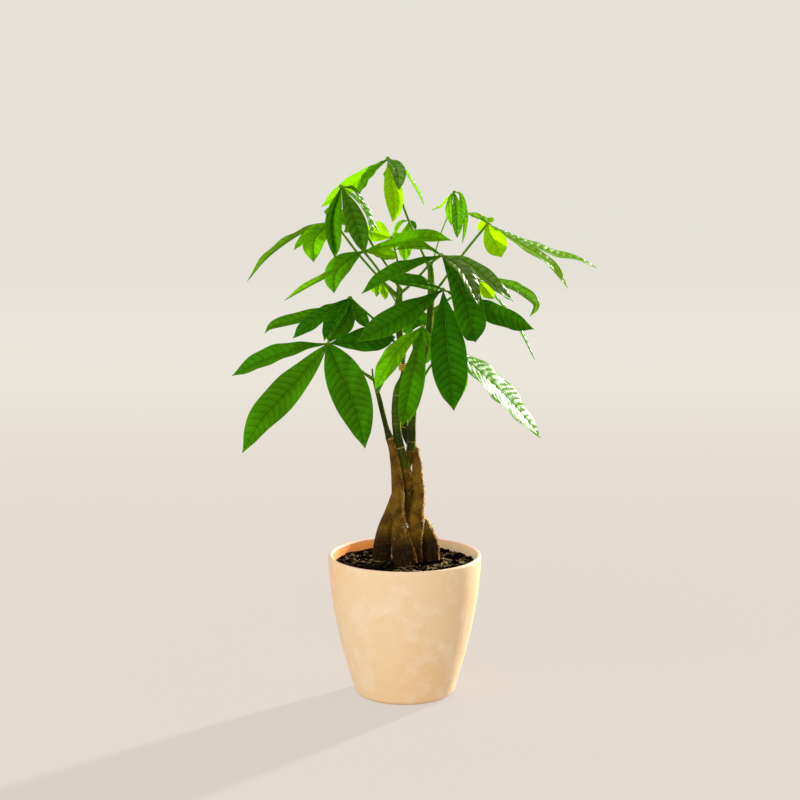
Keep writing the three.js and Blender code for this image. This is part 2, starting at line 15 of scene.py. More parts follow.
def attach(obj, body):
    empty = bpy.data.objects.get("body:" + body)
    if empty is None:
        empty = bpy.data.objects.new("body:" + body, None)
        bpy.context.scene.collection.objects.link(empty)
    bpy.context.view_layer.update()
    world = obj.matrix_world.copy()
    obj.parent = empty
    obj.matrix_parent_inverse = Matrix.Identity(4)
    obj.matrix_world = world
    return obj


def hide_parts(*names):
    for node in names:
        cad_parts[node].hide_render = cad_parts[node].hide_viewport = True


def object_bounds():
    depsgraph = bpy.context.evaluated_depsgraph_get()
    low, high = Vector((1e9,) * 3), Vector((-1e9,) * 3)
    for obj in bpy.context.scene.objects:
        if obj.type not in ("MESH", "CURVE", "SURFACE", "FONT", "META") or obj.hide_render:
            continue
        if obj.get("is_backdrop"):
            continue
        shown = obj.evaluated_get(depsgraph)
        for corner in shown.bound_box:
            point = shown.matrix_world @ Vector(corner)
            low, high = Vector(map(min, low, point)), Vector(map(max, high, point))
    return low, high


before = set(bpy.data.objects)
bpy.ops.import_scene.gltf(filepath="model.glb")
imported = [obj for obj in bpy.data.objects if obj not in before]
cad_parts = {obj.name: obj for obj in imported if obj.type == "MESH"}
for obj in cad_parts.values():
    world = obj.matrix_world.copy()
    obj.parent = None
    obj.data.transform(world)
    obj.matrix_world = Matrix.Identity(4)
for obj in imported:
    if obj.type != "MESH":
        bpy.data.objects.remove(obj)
cad_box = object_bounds()
MM = 0.001
TURN = 2 * pi
print("nodes:", sorted(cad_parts))

# %% [markdown]
# ## The camera
# The photograph was taken from a little above the pot's rim, from over two metres away, which is
# why the pot's sides look almost parallel. A pinhole camera of the same focal length, in pixels of
# the picture, and the same tilt gives the same outline. The same numbers turn a pixel of the
# picture and a depth into a place in the room, which is how the leaves are placed later.

# %% Camera
PICTURE = 800  # pixels, both ways
FOCAL = 2142  # pixels
PITCH = radians(9.7)  # how far the camera looks down
EYE = np.array([-5.2, -2320, 729]) * MM
SENSOR = 36  # mm, as Blender has it


def placed(name, data):
    """A new object in the scene."""
    made = bpy.data.objects.new(name, data)
    bpy.context.scene.collection.objects.link(made)
    return made


lens = bpy.data.cameras.new("camera")
lens.sensor_width, lens.lens = SENSOR, FOCAL / PICTURE * SENSOR
camera = placed("camera", lens)
camera.location = EYE
camera.rotation_euler = (pi / 2 - PITCH, 0, 0)
bpy.context.scene.camera = camera


def at(place):
    """Where a pixel [u, v] of the picture lies, in metres, on the plane back mm behind y 0."""
    u, v, back = place[:3]
    right = (u - PICTURE / 2) / FOCAL
    up = (PICTURE / 2 - v) / FOCAL
    forward = cos(PITCH) + up * sin(PITCH)
    rise = up * cos(PITCH) - sin(PITCH)
    reach = (back * MM - EYE[1]) / forward
    return np.array([EYE[0] + right * reach, back * MM, EYE[2] + rise * reach])


print("the rim's front edge lies near", at([404, 571, -85]).round(3))

# %% [markdown]
# ## Floor and light
# A plain pale floor runs back and turns up into a wall, so no edge of it shows. Soft daylight comes
# from a window in front and to the left. A stronger lamp stands low behind the plant on the right,
# as the sun does in the photograph: it shines through the thin leaflets, which then glow
# yellow-green, and draws a bright line down the pot's right side. Both are far lamps, and the angle
# that such a lamp fills in the sky sets how soft its shadow is.

# %% Floor, lamps and sky
PALE = (0.61, 0.545, 0.49, 1)
WALL_PALE = (0.677, 0.652, 0.583, 1)
SKY = (0.86, 0.845, 0.83, 1)
SKY_STRENGTH = 0.78
FLOOR_HALF = 7  # metres to each side
FLOOR_FRONT = -5
WALL_AT = 4.2  # metres behind the plant, where the floor has turned up into a wall
WALL_TOP = 5
BEND = 1.6  # radius of the turn

bend = np.linspace(-pi / 2, 0, 24)
line = [(FLOOR_FRONT, 0)]
line += [(WALL_AT - BEND + BEND * cos(a), BEND + BEND * sin(a)) for a in bend]
line += [(WALL_AT, WALL_TOP)]
points = [(side * FLOOR_HALF, y, z) for y, z in line for side in (-1, 1)]
faces = [(2 * i, 2 * i + 1, 2 * i + 3, 2 * i + 2) for i in range(len(line) - 1)]
floor_mesh = bpy.data.meshes.new("floor")
floor_mesh.from_pydata(points, [], faces)
floor_mesh.shade_smooth()
floor = placed("floor", floor_mesh)
floor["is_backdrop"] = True
floor.visible_shadow = False  # the low sun shines in over the wall


def lamp(name, azimuth, height, softness, strength, colour):
    """A far lamp. azimuth is in degrees from straight behind the plant, plus to the right."""
    light = bpy.data.lights.new(name, "SUN")
    light.angle = radians(softness)
    light.energy = strength
    light.color = colour
    turn, up = radians(azimuth), radians(height)
    way = Vector((sin(turn) * cos(up), cos(turn) * cos(up), sin(up)))
    holder = placed(name, light)
    holder.location = way * 3
    holder.rotation_mode = "QUATERNION"
    holder.rotation_quaternion = way.to_track_quat("Z", "Y")


lamp("sun_behind", azimuth=42, height=17, softness=3, strength=8.0, colour=(1.0, 0.96, 0.88))
lamp("window", azimuth=-150, height=32, softness=70, strength=1.5, colour=(1.0, 0.985, 0.97))
sky = bpy.data.worlds.new("sky")
sky.use_nodes = True
sky.node_tree.nodes["Background"].inputs["Color"].default_value = SKY
sky.node_tree.nodes["Background"].inputs["Strength"].default_value = SKY_STRENGTH
bpy.context.scene.world = sky
bpy.context.scene.view_settings.view_transform = "Standard"

# %% [markdown]
# ## Writing a finish as sums
# A finish is a network of shader nodes. Wiring each sum by hand hides what it means, so one small
# class wraps a socket and lets Python's own signs add the Math nodes: `1 - mask` works as it
# reads. Every other node comes from its one method, `node`.

# %% A socket that can be written in sums


class Wire:
    """A socket in a finish's nodes. Sums and products of it add Math nodes."""

    def __init__(self, tree, socket=None):
        self.tree = tree
        self.socket = socket

    def node(self, kind, settings=None, sockets=None, out=0):
        """A node of that kind: its settings are set first, then its sockets' values or links."""
        made = self.tree.nodes.new("ShaderNode" + kind)
        for name, setting in (settings or {}).items():
            setattr(made, name, setting)
        for name, value in (sockets or {}).items():
            if isinstance(value, Wire):
                self.tree.links.new(value.socket, made.inputs[name])
            else:
                made.inputs[name].default_value = value
        return Wire(self.tree, made.outputs[out] if made.outputs else None)

    def sum(self, operation, a, b):
        return self.node("Math", {"operation": operation}, {0: a, 1: b})

    def __add__(self, other):
        return self.sum("ADD", self, other)

    __radd__ = __add__

    def __sub__(self, other):
        return self.sum("SUBTRACT", self, other)

    def __rsub__(self, other):
        return self.sum("SUBTRACT", other, self)

    def __mul__(self, other):
        return self.sum("MULTIPLY", self, other)

    __rmul__ = __mul__

    def __truediv__(self, other):
        return self.sum("DIVIDE", self, other)

    def __rtruediv__(self, other):
        return self.sum("DIVIDE", other, self)


print("finishes are written with", Wire.__name__)

# %% Words for what a finish does


def xyz(vector):
    """The three numbers of a vector."""
    split = vector.node("SeparateXYZ", {}, {0: vector})
    return [Wire(split.tree, out) for out in split.socket.node.outputs]


def layer(wire, name):
    """The three numbers that each corner of a piece's mesh carries under that name."""
    return xyz(wire.node("Attribute", {"attribute_name": name}, out="Vector"))


def rising(value, low, high):
    """0 below low, 1 above high, smooth between."""
    settings = {"interpolation_type": "SMOOTHSTEP"}
    return value.node("MapRange", settings, {"Value": value, "From Min": low, "From Max": high})


def cloudy(place, scale, detail=3):
    """Soft noise from 0 to 1 at a place, with scale clouds to the metre."""
    return place.node("TexNoise", {}, {"Vector": place, "Scale": scale, "Detail": detail})


def blended(share, a, b):
    """The colour a where share is 0 and b where it is 1."""
    return share.node("Mix", {"data_type": "RGBA"}, {0: share, 6: a, 7: b}, out=2)


def coated(colour, *coats):
    """A colour with others laid over it in turn, each by its share."""
    for share, over in coats:
        colour = blended(share, colour, over)
    return colour


def raised(height, depth):
    """The surface's normal with a relief of depth metres."""
    return height.node("Bump", {}, {"Height": height, "Distance": depth, "Strength": 1.0})


def new_finish(name):
    """A material with no nodes yet, a wire to add them with, and the place on the surface."""
    material = bpy.data.materials.new(name)
    material.use_nodes = True
    material.node_tree.nodes.clear()
    wire = Wire(material.node_tree)
    return material, wire, wire.node("TexCoord", out="Object")


GLOSSY = 0.4  # the roughness of what shines


def covered(wire, colour, normal=None, rough=0.9, specular=0.0, light=None, shine=None, behind=None):
    """Ends a finish. light is a glow of its own, shine the share of a glossier shader, and behind
    the colour and the share of the light that comes through from the back."""
    sockets = {"Base Color": colour, "Roughness": rough, "Specular IOR Level": specular}
    if normal:
        sockets["Normal"] = normal
    if light:
        sockets |= {"Emission Color": light, "Emission Strength": 1.0}
    shader = wire.node("BsdfPrincipled", {}, sockets)
    if shine:
        sockets |= {"Roughness": GLOSSY, "Specular IOR Level": 1.0}
        second = wire.node("BsdfPrincipled", {}, sockets)
        shader = wire.node("MixShader", {}, {0: shine, 1: shader, 2: second})
    if behind:
        second = wire.node("BsdfTranslucent", {}, {"Color": behind[0]})
        shader = wire.node("MixShader", {}, {0: behind[1], 1: shader, 2: second})
    wire.node("OutputMaterial", {}, {"Surface": shader})


print("what is glossy is", GLOSSY, "rough")

# %% The floor's finish
# A photographer's sweep is lit on its own, so the object's shadow on it stays faint. Here the sweep
# glows by itself for most of its brightness, and takes only the rest from the lamps.
FLOOR_ANSWER = (0.10, 0.097, 0.093, 1)
PALER_FROM = 0.5  # metres behind the plant, where the floor's colour starts to turn to the wall's
PALER_TO = 3.2

floor_finish, wire, place = new_finish("pale floor")
glow = blended(rising(xyz(place)[1], PALER_FROM, PALER_TO), PALE, WALL_PALE)
covered(wire, FLOOR_ANSWER, light=glow)
floor_mesh.materials.append(floor_finish)
print("floor:", floor_finish.name)

# %% [markdown]
# ## Skins
# Nearly everything here is a skin over rings: a trunk is round rings along a path, a leaflet is
# thin flat rings along its midrib, and the pot is rings round an upright line. So one helper makes
# a closed skin from any stack of rings, one joins such parts, and one makes the Blender object.

# %% Rings to skins, and skins to pieces


def skin(rings, layers):
    """A closed skin over rings[ring][side] of points. Each layer holds three numbers a point."""
    count, sides = rings.shape[:2]
    here = np.arange(count * sides).reshape(count, sides)
    right = np.roll(here, -1, axis=1)
    walls = np.stack([here[:-1], right[:-1], right[1:], here[1:]], axis=-1).reshape(-1, 4)
    ends = [here[0][::-1].tolist(), here[-1].tolist()]
    layers = {name: values.reshape(-1, 3) for name, values in layers.items()}
    return rings.reshape(-1, 3), walls.tolist() + ends, layers


def joined(parts):
    """Several skins as one."""
    points, faces, start = [], [], 0
    for part in parts:
        points.append(part[0])
        faces += [[start + corner for corner in face] for face in part[1]]
        start += len(part[0])
    layers = {name: np.concatenate([part[2][name] for part in parts]) for name in parts[0][2]}
    return np.concatenate(points), faces, layers


def piece(name, part, finishes, replaced=None, kinds=None, sharp=50):
    """A Blender object from a skin, riding on the plant, in place of a plain CAD node."""
    points, faces, layers = part
    mesh = bpy.data.meshes.new(name)
    mesh.from_pydata(points.tolist(), [], faces)
    for layer_name, values in layers.items():
        kept = mesh.attributes.new(layer_name, "FLOAT_VECTOR", "POINT")
        kept.data.foreach_set("vector", values.astype(np.float32).ravel())
    for material in finishes:
        mesh.materials.append(material)
    if kinds is not None:
        mesh.polygons.foreach_set("material_index", kinds)
    mesh.shade_smooth()
    mesh.set_sharp_from_angle(angle=radians(sharp))
    made = placed(name, mesh)
    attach(made, "root")
    if replaced:
        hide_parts(replaced)
    print(f"{name}: {len(mesh.polygons)} faces")
    return made


# %% [markdown]
# ## Smooth paths
# A stem or a midrib passes through a few places read off the photograph. A centripetal
# Catmull-Rom curve goes through all of them without loops or overshoot. The CAD source uses the
# same curve, so the fine pieces follow the solids.

# %% A smooth path through places


def unit(rows):
    """Each row at length 1."""
    return rows / np.linalg.norm(rows, axis=1)[:, None]


def path(places, steps):
    """One smooth curve with steps points a span. Further numbers of a place run along."""
    p = np.array(places, float)
    p = np.concatenate([[2 * p[0] - p[1]], p, [2 * p[-1] - p[-2]]])
    apart = np.linalg.norm(np.diff(p[:, :3], axis=0), axis=1) ** 0.5
    t = (np.arange(steps) / steps)[:, None]
    spans = []
    for i in range(1, len(p) - 2):
        a, b, c = apart[i - 1 : i + 2]
        x0, x1, x2, x3 = p[i - 1 : i + 3]
        start = ((x1 - x0) / a - (x2 - x0) / (a + b) + (x2 - x1) / b) * b
        end = ((x2 - x1) / b - (x3 - x1) / (b + c) + (x3 - x2) / c) * b
        square, cube = 3 * (x2 - x1) - 2 * start - end, 2 * (x1 - x2) + start + end
        spans.append(x1 + start * t + square * t**2 + cube * t**3)
    return np.concatenate(spans + [p[-2:-1]])


def spaced(points, shares):
    """Points of a path at shares of its length, the way it runs there, and its length."""
    steps = np.linalg.norm(np.diff(points, axis=0), axis=1)
    length = np.concatenate([[0], np.cumsum(steps)])

    def found(where):
        return np.stack([np.interp(where, length, axis) for axis in points.T], axis=-1)

    where = np.array(shares) * length[-1]
    step = length[-1] * 0.004
    return found(where), unit(found(where + step) - found(where - step)), length[-1]


def frames(along):
    """Two directions square to the path at each of its points, turning as little as they can."""
    side = np.cross(along[0], [0.3, 1, 0.2])
    sides = []
    for way in along:
        side = side - way * np.dot(side, way)
        side = side / np.linalg.norm(side)
        sides.append(side)
    sides = np.array(sides)
    return sides, np.cross(along, sides)


def tube(points, along, radii, sides, relief=1.0):
    """Rings round a path, and each point's place in the tube's own grain: across, across, along."""
    side, other = frames(along)
    turn = TURN * np.arange(sides) / sides
    radius = np.repeat(radii[:, None], sides, axis=1) * relief
    across = radius * np.cos(turn)
    beside = radius * np.sin(turn)
    rings = points[:, None] + across[..., None] * side[:, None] + beside[..., None] * other[:, None]
    run = np.concatenate([[0], np.cumsum(np.linalg.norm(np.diff(points, axis=0), axis=1))])
    grain = np.stack([across, beside, np.repeat(run[:, None], sides, axis=1)], axis=-1)
    return rings, grain


print("a path is ready")

# %% [markdown]
# ## The pot
# The pot is thrown clay with a thin round lip and a tapered wall, so half of its outline is turned
# round an upright line, in 128 steps so that no corner shows. The clay is cream to apricot, with
# soft paler clouds where it dried unevenly, and a darker line at the foot. Inside, the clay is
# painted deep orange at the left and pale at the right: the orange is painted bounce light in the
# lining's shade. The top of the lip is painted a pinkish brown, a painted shade at its inner edge.
# Low sun scatters in the lining at the left: a faint painted glow of its own stands in for that.

# %% The pot's finish
clay, wire, place = new_finish("pale clay")
side = xyz(place)[0]
inside, low, lip_shade = layer(wire, "clay_place")
clouds = rising(cloudy(place, 34, 6), 0.49, 0.68)
wisps = rising(cloudy(place, 110, 5), 0.55, 0.70)
specks = rising(cloudy(place, 420, 3), 0.62, 0.72)
warmth = rising(cloudy(place, 9, 2), 0.35, 0.7)
left = 1 - rising(side, -0.06, -0.01)
colour = coated(
    blended(warmth, (0.84, 0.61, 0.36, 1), (0.83, 0.55, 0.285, 1)),
    (clouds * 0.3 + wisps * 0.2, (0.92, 0.79, 0.63, 1)),
    (specks * 0.22, (0.66, 0.42, 0.22, 1)),
    # Painted bounce light: the lining is deep orange at the left, where it lies in shade, and pale at the
    # right.
    (inside, blended(rising(side, -0.03, 0.03), (0.98, 0.34, 0.07, 1), (0.95, 0.76, 0.50, 1))),
    # Painted shade: the lip's top is a pinkish brown all round.
    (lip_shade * 0.75, (0.80, 0.52, 0.37, 1)),
    (low, (0.56, 0.25, 0.07, 1)),
)
# Painted glow: the lining's left side gives off a faint light of its own, standing in for scattered sun.
glow = blended(inside * left * (1 - lip_shade), (0, 0, 0, 1), (0.19, 0.075, 0.018, 1))
relief = cloudy(place, 70, 5) * 0.7 + cloudy(place, 600, 2) * 0.3
rough = 0.56 - clouds * 0.1 + specks * 0.1
covered(wire, colour, raised(relief, 0.0008), rough, specular=0.5, light=glow)
print("finish:", clay.name)

# %% The pot's outline
POT_HEIGHT = 159
RIM_RADIUS = 85
WALL = 5
FOOT_RADIUS = 48
FOOT_ROUND = 9
WAIST = (83.1, 90)  # radius and height where the wall's two end tangents would meet
POT_FLOOR = 8
POT_SIDES = 128


def wall_line(inset, bottom, steps=28):
    """Radius and height up the wall, moved in by inset."""
    t = np.linspace(0, 1, steps)[:, None]
    foot = np.array([FOOT_RADIUS + FOOT_ROUND - inset, bottom])
    waist = np.array([WAIST[0] - inset, WAIST[1]])
    rim = np.array([RIM_RADIUS - inset, POT_HEIGHT - WALL / 2])
    return (1 - t) ** 2 * foot + 2 * t * (1 - t) * waist + t**2 * rim


def arc(middle, radius, start, end, steps):
    turn = np.linspace(start, end, steps)[:, None]
    return np.array(middle) + radius * np.concatenate([np.cos(turn), np.sin(turn)], axis=1)


def turned(outline, sides=POT_SIDES):
    """Rings of a half outline, in mm, turned round the upright line."""
    turn = TURN * np.arange(sides) / sides
    radius, height = outline[:, :1], outline[:, 1:]
    rings = [radius * np.cos(turn), radius * np.sin(turn), height + 0 * turn]
    return np.stack(rings, axis=-1) * MM


foot_arc = arc((FOOT_RADIUS, FOOT_ROUND), FOOT_ROUND, -pi / 2, -0.3, 9)
lip_arc = arc((RIM_RADIUS - WALL / 2, POT_HEIGHT - WALL / 2), WALL / 2, 0, pi, 13)
outside = np.concatenate([foot_arc, wall_line(0, FOOT_ROUND)[1:-1], lip_arc])
outline = np.concatenate([outside, wall_line(WALL, POT_FLOOR)[::-1][1:]])
print("pot outline:", len(outline), "points")

# %% The pot
DRAIN_HOLES = 3
DRAIN_RADIUS = 6
DRAIN_RING = 28
DARK_TO = 2.4  # mm, how high the darker line at the foot reaches

rank = np.arange(len(outline))[:, None] - len(outside)
is_within = rank >= -5
is_low = np.clip((DARK_TO - outline[:, 1:]) / (DARK_TO / 2), 0, 1) * ~is_within
# Marks the lip's top, where a pinkish brown is painted as shade at its edge.
is_lip_shade = np.abs(rank + 6) < 5
marks = np.stack([is_within, is_low, is_lip_shade], axis=-1).astype(float)
part = skin(turned(outline), {"clay_place": np.repeat(marks, POT_SIDES, axis=1)})
pot = piece("fine_pot", part, [clay], "pot")

drills = []
for hole in range(DRAIN_HOLES):
    turn = TURN * (hole + 0.25) / DRAIN_HOLES
    drill = turned(np.array([[DRAIN_RADIUS, -POT_FLOOR], [DRAIN_RADIUS, 2 * POT_FLOOR]]), 32)
    drill += np.array([cos(turn), sin(turn), 0]) * DRAIN_RING * MM
    drills.append(skin(drill, {}))
points, faces, _ = joined(drills)
drill_mesh = bpy.data.meshes.new("drills")
drill_mesh.from_pydata(points.tolist(), [], faces)
drill = placed("drills", drill_mesh)
pot.modifiers.new("drain holes", "BOOLEAN").object = drill
drilled = bpy.data.meshes.new_from_object(pot.evaluated_get(bpy.context.evaluated_depsgraph_get()))
pot.modifiers.clear()
pot.data = drilled
# The cut loses the marks, so each point takes those of the nearest place on the outline.
corners = np.array([point.co[:] for point in drilled.vertices]) / MM
reached = np.stack([np.hypot(corners[:, 0], corners[:, 1]), corners[:, 2]], axis=-1)
nearest = ((reached[:, None] - outline[None]) ** 2).sum(axis=2).argmin(axis=1)
drilled.attributes["clay_place"].data.foreach_set("vector", marks[nearest, 0].ravel())
bpy.data.objects.remove(drill)
print("pot with", DRAIN_HOLES, "drain holes:", len(drilled.polygons), "faces")

# %% [markdown]
# ## The soil
# Potting mix is dark peat with lighter chips of bark and pale fibres lying in it. A flat disc with
# a picture of soil looks painted, so the top is a lumpy skin, and crumbs, chips and fibres are real
# little shapes strewn over it. A seeded draw places them, so every run gives the same soil.

# %% The soil's finishes
DARKEST = (0.0012, 0.0009, 0.0004, 1)

peat, wire, place = new_finish("dark potting mix")
grains = cloudy(place, 650, 4)
lumps = cloudy(place, 160, 3)
colour = blended(rising(grains, 0.42, 0.7), DARKEST, (0.006, 0.0042, 0.0018, 1))
covered(wire, colour, raised(grains * 0.5 + lumps * 0.5, 0.003), rough=0.95)

litter, wire, place = new_finish("bark chips and fibres")
shade, grey, _ = layer(wire, "litter_tint")
streaks = cloudy(place, 900, 3)
colour = coated(
    blended(shade, DARKEST, (0.74, 0.53, 0.22, 1)),
    (grey * shade, (0.34, 0.27, 0.14, 1)),
    (rising(streaks, 0.5, 0.75) * 0.6, (0.05, 0.03, 0.014, 1)),
)
covered(wire, colour, raised(streaks, 0.0006))
print("finishes:", peat.name, litter.name)

# %% The soil's top
SOIL_BELOW_RIM = 11
SOIL_MOUND = 3  # how much higher the soil is round the trunks
MOUND_RADIUS = 38
SOIL_LUMP = 1.6
SOIL_WAVES = [(0.11, 0.05, 0.4), (-0.07, 0.13, 1.9), (0.19, -0.16, 3.1), (0.05, 0.27, 4.4)]
GAP = 0.3
EDGE_INSET = 0.6  # mm more, where the pot's wall curves in
SHOULDER = 4  # mm below its top, where the soil's plain side ends
CRUMBLE = 1.1  # height of the finest lumps
CRUMBLE_SCALE = 0.16
SOIL_SIDES = 200
SOIL_RINGS = 78


def soil_top(x, y):
    """Height of the soil, in mm, at a place in mm."""
    lumps = sum(sin(a * x + b * y + c) for a, b, c in SOIL_WAVES) / len(SOIL_WAVES)
    mound = SOIL_MOUND * exp(-((hypot(x, y) / MOUND_RADIUS) ** 2))
    crumbs = noise.fractal(Vector((x, y, 0)) * CRUMBLE_SCALE, 0.9, 2.1, 4)
    return POT_HEIGHT - SOIL_BELOW_RIM + mound + SOIL_LUMP * lumps + CRUMBLE * crumbs


edge = RIM_RADIUS - WALL - 2 * GAP - EDGE_INSET
below = wall_line(WALL + GAP, POT_FLOOR)
below = below[below[:, 1] < POT_HEIGHT - SOIL_BELOW_RIM - SHOULDER]
below[0, 1] += GAP
across = np.stack([np.linspace(edge, 1, SOIL_RINGS), np.zeros(SOIL_RINGS)], axis=-1)
top_rings = turned(across, SOIL_SIDES)
for point in top_rings.reshape(-1, 3):
    point[2] = soil_top(point[0] / MM, point[1] / MM) * MM
part = skin(np.concatenate([turned(below, SOIL_SIDES), top_rings]), {})
piece("fine_soil", part, [peat], "soil", sharp=180)

# %% A crumb, and a place for it
HEAPS = [(-47, 20, 20, 24), (50, 4, 22, 28), (20, -44, 26, 16)]  # x, y, half width, half depth
CORNERS = [[x, y, z] for z in (-1, 1) for x, y in ((-1, -1), (1, -1), (1, 1), (-1, 1))]
LEAN = 0.35  # how far a crumb tips over, in radians
draw = np.random.default_rng(11)


def lump(middle, size, flat):
    """An uneven eight-cornered crumb or chip, placed in mm, lying as it fell."""
    corners = CORNERS * draw.uniform(0.55, 1.0, (8, 3))
    corners = corners * [size, size * draw.uniform(0.4, 0.9), size * flat]
    turn, tilt, roll = draw.uniform(0, TURN), draw.normal(0, LEAN), draw.normal(0, LEAN)
    for angle, axes in ((roll, [1, 2]), (tilt, [0, 2]), (turn, [0, 1])):
        a, b = corners[:, axes].T
        a, b = a * cos(angle) - b * sin(angle), a * sin(angle) + b * cos(angle)
        corners[:, axes] = np.stack([a, b], axis=-1)
    faces = [[3, 2, 1, 0], [4, 5, 6, 7]]
    faces += [[i, (i + 1) % 4, (i + 1) % 4 + 4, i + 4] for i in range(4)]
    return (corners + middle) * MM, faces


def tinted(part, shade, grey):
    points, faces = part[:2]
    return points, faces, {"litter_tint": np.tile([shade, grey, 0.0], (len(points), 1))}


def on_soil():
    """A place on the soil, in mm, drawn evenly over its disc."""
    radius, turn = (edge - 2) * sqrt(draw.uniform()), draw.uniform(0, TURN)
    x, y = radius * cos(turn), radius * sin(turn)
    return np.array([x, y, soil_top(x, y)])


def paleness(spot):
    """How pale the litter is at a place: pale heaps lie beside the trunks, the rest is dark."""
    x, y = spot[:2]
    near = [exp(-(((x - u) / wide) ** 2 + ((y - v) / deep) ** 2)) for u, v, wide, deep in HEAPS]
    return 0.03 + 0.97 * min(1, sum(near))


print("the soil's edge is at", round(edge, 1), "mm")

# %% Crumbs, chips and fibres
CRUMBS, CRUMB_SIZE = 1500, (0.5, 1.9)  # sizes are in mm
CHIPS, CHIP_SIZE, CHIP_FLATNESS = 300, (1.2, 3.6), (0.15, 0.35)
FIBRES, FIBRE_REACH, FIBRE_RADIUS = 120, (4, 12), (0.16, 0.42)
FIBRE_LIFT = (0.5, 1.8)  # mm above the soil

strewn = []
for _ in range(CRUMBS):
    crumb = lump(on_soil() + [0, 0, 0.2], draw.uniform(*CRUMB_SIZE), 0.8)
    strewn.append(tinted(crumb, draw.uniform(0, 0.003), 0))
for _ in range(CHIPS):
    spot = on_soil()
    chip = lump(spot + [0, 0, 0.9], draw.uniform(*CHIP_SIZE), draw.uniform(*CHIP_FLATNESS))
    strewn.append(tinted(chip, draw.beta(0.5, 1.1) * paleness(spot), draw.integers(0, 2)))
piece("bark_chips", joined(strewn), [litter], sharp=20)

threads = []
for _ in range(FIBRES):
    middle, turn, reach = on_soil(), draw.uniform(0, TURN), draw.uniform(*FIBRE_REACH)
    curl = draw.normal(0, 0.5)
    places = []
    for share in (-1, -0.3, 0.4, 1):
        angle = turn + curl * share
        x, y = middle[:2] + reach * share * np.array([cos(angle), sin(angle)])
        held = min(1, (edge - 1) / hypot(x, y))
        lift = soil_top(x * held, y * held) + draw.uniform(*FIBRE_LIFT)
        places.append([x * held, y * held, lift])
    line, along, _ = spaced(path(np.array(places) * MM, 4), np.linspace(0, 1, 10))
    rings, _ = tube(line, along, np.full(10, draw.uniform(*FIBRE_RADIUS) * MM), 5)
    shade = draw.uniform(0.45, 1) * paleness(middle)
    threads.append(tinted(skin(rings, {}), shade, draw.uniform(0, 0.6)))
piece("soil_fibres", joined(threads), [litter])

# %% [markdown]
# ## The trunks
# Each young tree keeps its own trunk in the braid, and goes on above it as a green stem. A trunk is
# round rings along its path, thicker towards the soil, where the bark splits into flat ridges. Old
# leaf scars leave low rings. Where the bark ends, the stem turns green: that edge is ragged, so the
# finish compares the height above it with a little noise. The side that faces the low sun is painted
# a sunlit golden rust, and the green stem a sunlit yellow-green, so the finish also asks which way
# the bark faces.

# %% The bark's finish
bark, wire, place = new_finish("bark and green stem")
across, beside, along = layer(wire, "grain")
over, scar, foot = layer(wire, "bark_place")
facing_x, facing_y, _ = xyz(wire.node("TexCoord", out="Normal"))
long_grain = wire.node("CombineXYZ", {}, {0: across, 1: beside, 2: along * 0.12})
fibres = cloudy(long_grain, 900, 4)
streaks = cloudy(long_grain, 260, 3)
patches = cloudy(place, 70, 4)
grit = cloudy(place, 900, 3)
knobs = cloudy(place, 190, 3)
dots = rising(cloudy(place, 330, 2), 0.64, 0.74)
flakes = rising(cloudy(place, 300, 5), 0.52, 0.62) * foot
ragged = rising(cloudy(place, 420, 4) * scar, 0.32, 0.44)
root = rising(foot + patches * 0.3, 0.25, 0.75)
fresh = rising(over, 0.02, 0.10)
# Painted sunlight: where the bark or stem faces the low sun, it is painted golden rust or yellow-green.
painted_sunlit_side = rising(facing_x * 0.67 + facing_y * 0.74 + (knobs + grit - 1) * 2.2, 0.0, 0.55)

woody = coated(
    blended(rising(patches, 0.35, 0.68), (0.066, 0.033, 0.0018, 1), (0.215, 0.108, 0.006, 1)),
    (rising(streaks, 0.45, 0.7) * 0.5, (0.11, 0.075, 0.004, 1)),
    (rising(fibres, 0.5, 0.68) * 0.5, (0.045, 0.022, 0.002, 1)),
    (dots * 0.5, (0.52, 0.32, 0.08, 1)),
    (root * 0.94, (0.0075, 0.0052, 0.0018, 1)),
    (rising(fibres, 0.5, 0.7) * root * 0.5, (0.065, 0.042, 0.014, 1)),
    (flakes * 0.35, (0.13, 0.05, 0.008, 1)),
    (scar * rising(patches, 0.45, 0.6) * 0.6, (0.17, 0.072, 0.008, 1)),
    (painted_sunlit_side * 0.8, blended(root, (0.80, 0.48, 0.11, 1), (0.46, 0.20, 0.04, 1))),
)
stem_dark = blended(fresh, (0.016, 0.026, 0.0002, 1), (0.040, 0.105, 0.0006, 1))
stem_light = blended(fresh, (0.060, 0.075, 0.0005, 1), (0.125, 0.245, 0.001, 1))
stem_green = coated(
    blended(rising(streaks, 0.4, 0.7), stem_dark, stem_light),
    (dots * 0.4, (0.30, 0.22, 0.03, 1)),
    (ragged * 0.8, (0.50, 0.33, 0.12, 1)),
    (painted_sunlit_side * 0.7, (0.36, 0.46, 0.02, 1)),
)
green = rising(over + (patches - 0.5) * 0.02, -0.001, 0.002)
relief = fibres * (0.4 + foot * 0.6) + knobs * (0.9 + foot) + scar * 0.2
relief = relief + grit * (0.25 + foot * 0.6)
relief = raised(relief * (1 - green * 0.7), 0.0026)
rough = 0.62 - green * 0.2 + root * 0.25
covered(wire, blended(green, woody, stem_green), relief, rough, specular=0.08)
print("finish:", bark.name)

# %% [markdown]
# ## Scraps of bark
# Old bark peels: little scraps stand off the trunks, most of them low down and on the dry side that
# the sun strikes. Each is a flat lump like those on the soil, pressed a little into the trunk.

# %% Scraps of bark
TRUNK_SIDES = 36
SCRAPS = 260  # tries on each trunk
SCRAP_SIZE = (0.5, 1.5)  # mm
SCRAP_FLATNESS = (0.2, 0.5)
SCRAP_OUT = 0.3  # mm from the bark to a scrap's middle
SUN_SIDE = np.array([0.67, 0.74, 0])
scraps = []


